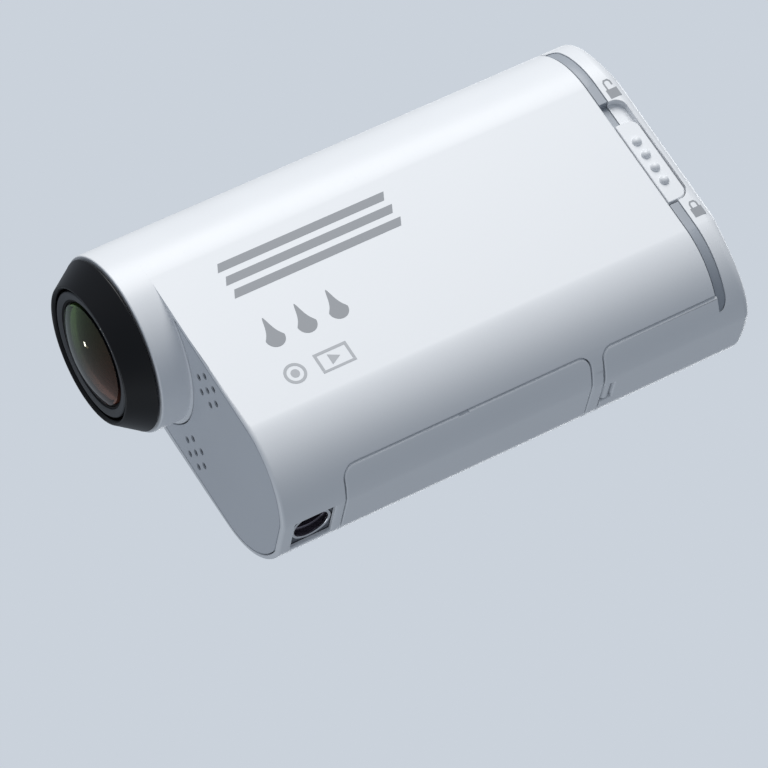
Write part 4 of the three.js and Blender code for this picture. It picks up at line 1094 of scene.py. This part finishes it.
def lamp_lens(name, colour):
    """A tinted moulded light pipe, cloudy inside."""
    made = moulded(name, colour, 0.2, grain=0.2, grain_size=0.3, mottle=0.15, sheen=0.6)
    made.node_tree.nodes["Principled BSDF"].inputs["Subsurface Weight"].default_value = 0.15
    return made


for node, colour in (("record_lamp", (0.5, 0.03, 0.02)), ("charge_lamp", (0.7, 0.3, 0.04))):
    low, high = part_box(node)
    middle = (low + high) / 2
    lens = peg((high.y - low.y) / 2, (low.x, *middle.yz), (high.x, *middle.yz), 48)
    soften(lens, 0.2 * mm, segments=4)
    finish_piece(lens, f"{node}_lens", lamp_lens(node + "_tint", colour), "camera_body",
                 "lamp_red" if node == "record_lamp" else "lamp_amber", node)
coat(mesh_cloth, "speaker")

# ---- Battery bay ----
# The pack slides in from behind against sprung gold contacts and is held by a blue latch. The
# memory card lies in a folded steel slot under the tray.
battery_case = moulded("battery_case", (0.022, 0.023, 0.026), 0.5, grain=0.6, grain_size=0.15,
                       mottle=0.1)
latch_blue = moulded("latch_blue", (0.03, 0.11, 0.36), 0.4)
gold = metal("contact_gold", (0.78, 0.56, 0.24), 0.25)
card_black = moulded("card_black", (0.014, 0.014, 0.016), 0.35, grain_size=0.1)
refined("battery", "battery_pack", battery_case, "camera_body", "battery_black", 0.5)
refined("battery_tray", "bay_tray", dark_plastic, "camera_body", "dark_plastic", 0.12)
refined("battery_latch", "blue_latch", latch_blue, "battery_latch", "latch_blue", 0.3)
refined("battery_contacts", "contact_block", gold, "camera_body", "contact_gold", 0.12)
refined("memory_card", "card_body", card_black, "camera_body", "bezel_black", 0.15)
refined("card_slot", "card_cage", nickel, "camera_body", "socket_steel", 0.08)

# ---- Chassis and boards ----
# A dark cross wall screwed to the body carries the camera's boards: green laminate with copper
# tracks under the mask, a tinned shield over the processor, and the sensor behind the lens.
laminate, tree, surface, place = new_finish("board_laminate", Roughness=0.35)
axes = add(tree, "Mapping", Rotation=(math.radians(35), math.radians(20), math.radians(45)))
feed(place, "Object", axes, "Vector")
tracks = add(tree, "TexBrick", Scale=420, Mortar_Size=0.03, Color1=(0.008, 0.085, 0.035, 1),
             Color2=(0.012, 0.105, 0.045, 1), Mortar=(0.04, 0.2, 0.07, 1))
feed(axes, "Vector", tracks, "Vector")
feed(tracks, "Color", surface, "Base Color")
ridge = add(tree, "Bump", Strength=0.3, Distance=0.02 * mm)
feed(tracks, "Fac", ridge, "Height")
feed(ridge, "Normal", surface, "Normal")
coat(laminate, "main_board", "sensor_board", "connector_board")
refined("processor_shield", "shield_can", nickel, "camera_body", "socket_steel", 0.2)
refined("chassis", "cross_wall", dark_plastic, "camera_body", "dark_plastic", 0.08, least=60)
coat(nickel, "chassis_screw_1", "chassis_screw_2", "chassis_screw_3", "chassis_screw_4",
     "sensor_board_screw_low", "sensor_board_screw_high")
coat(card_black, "image_sensor")
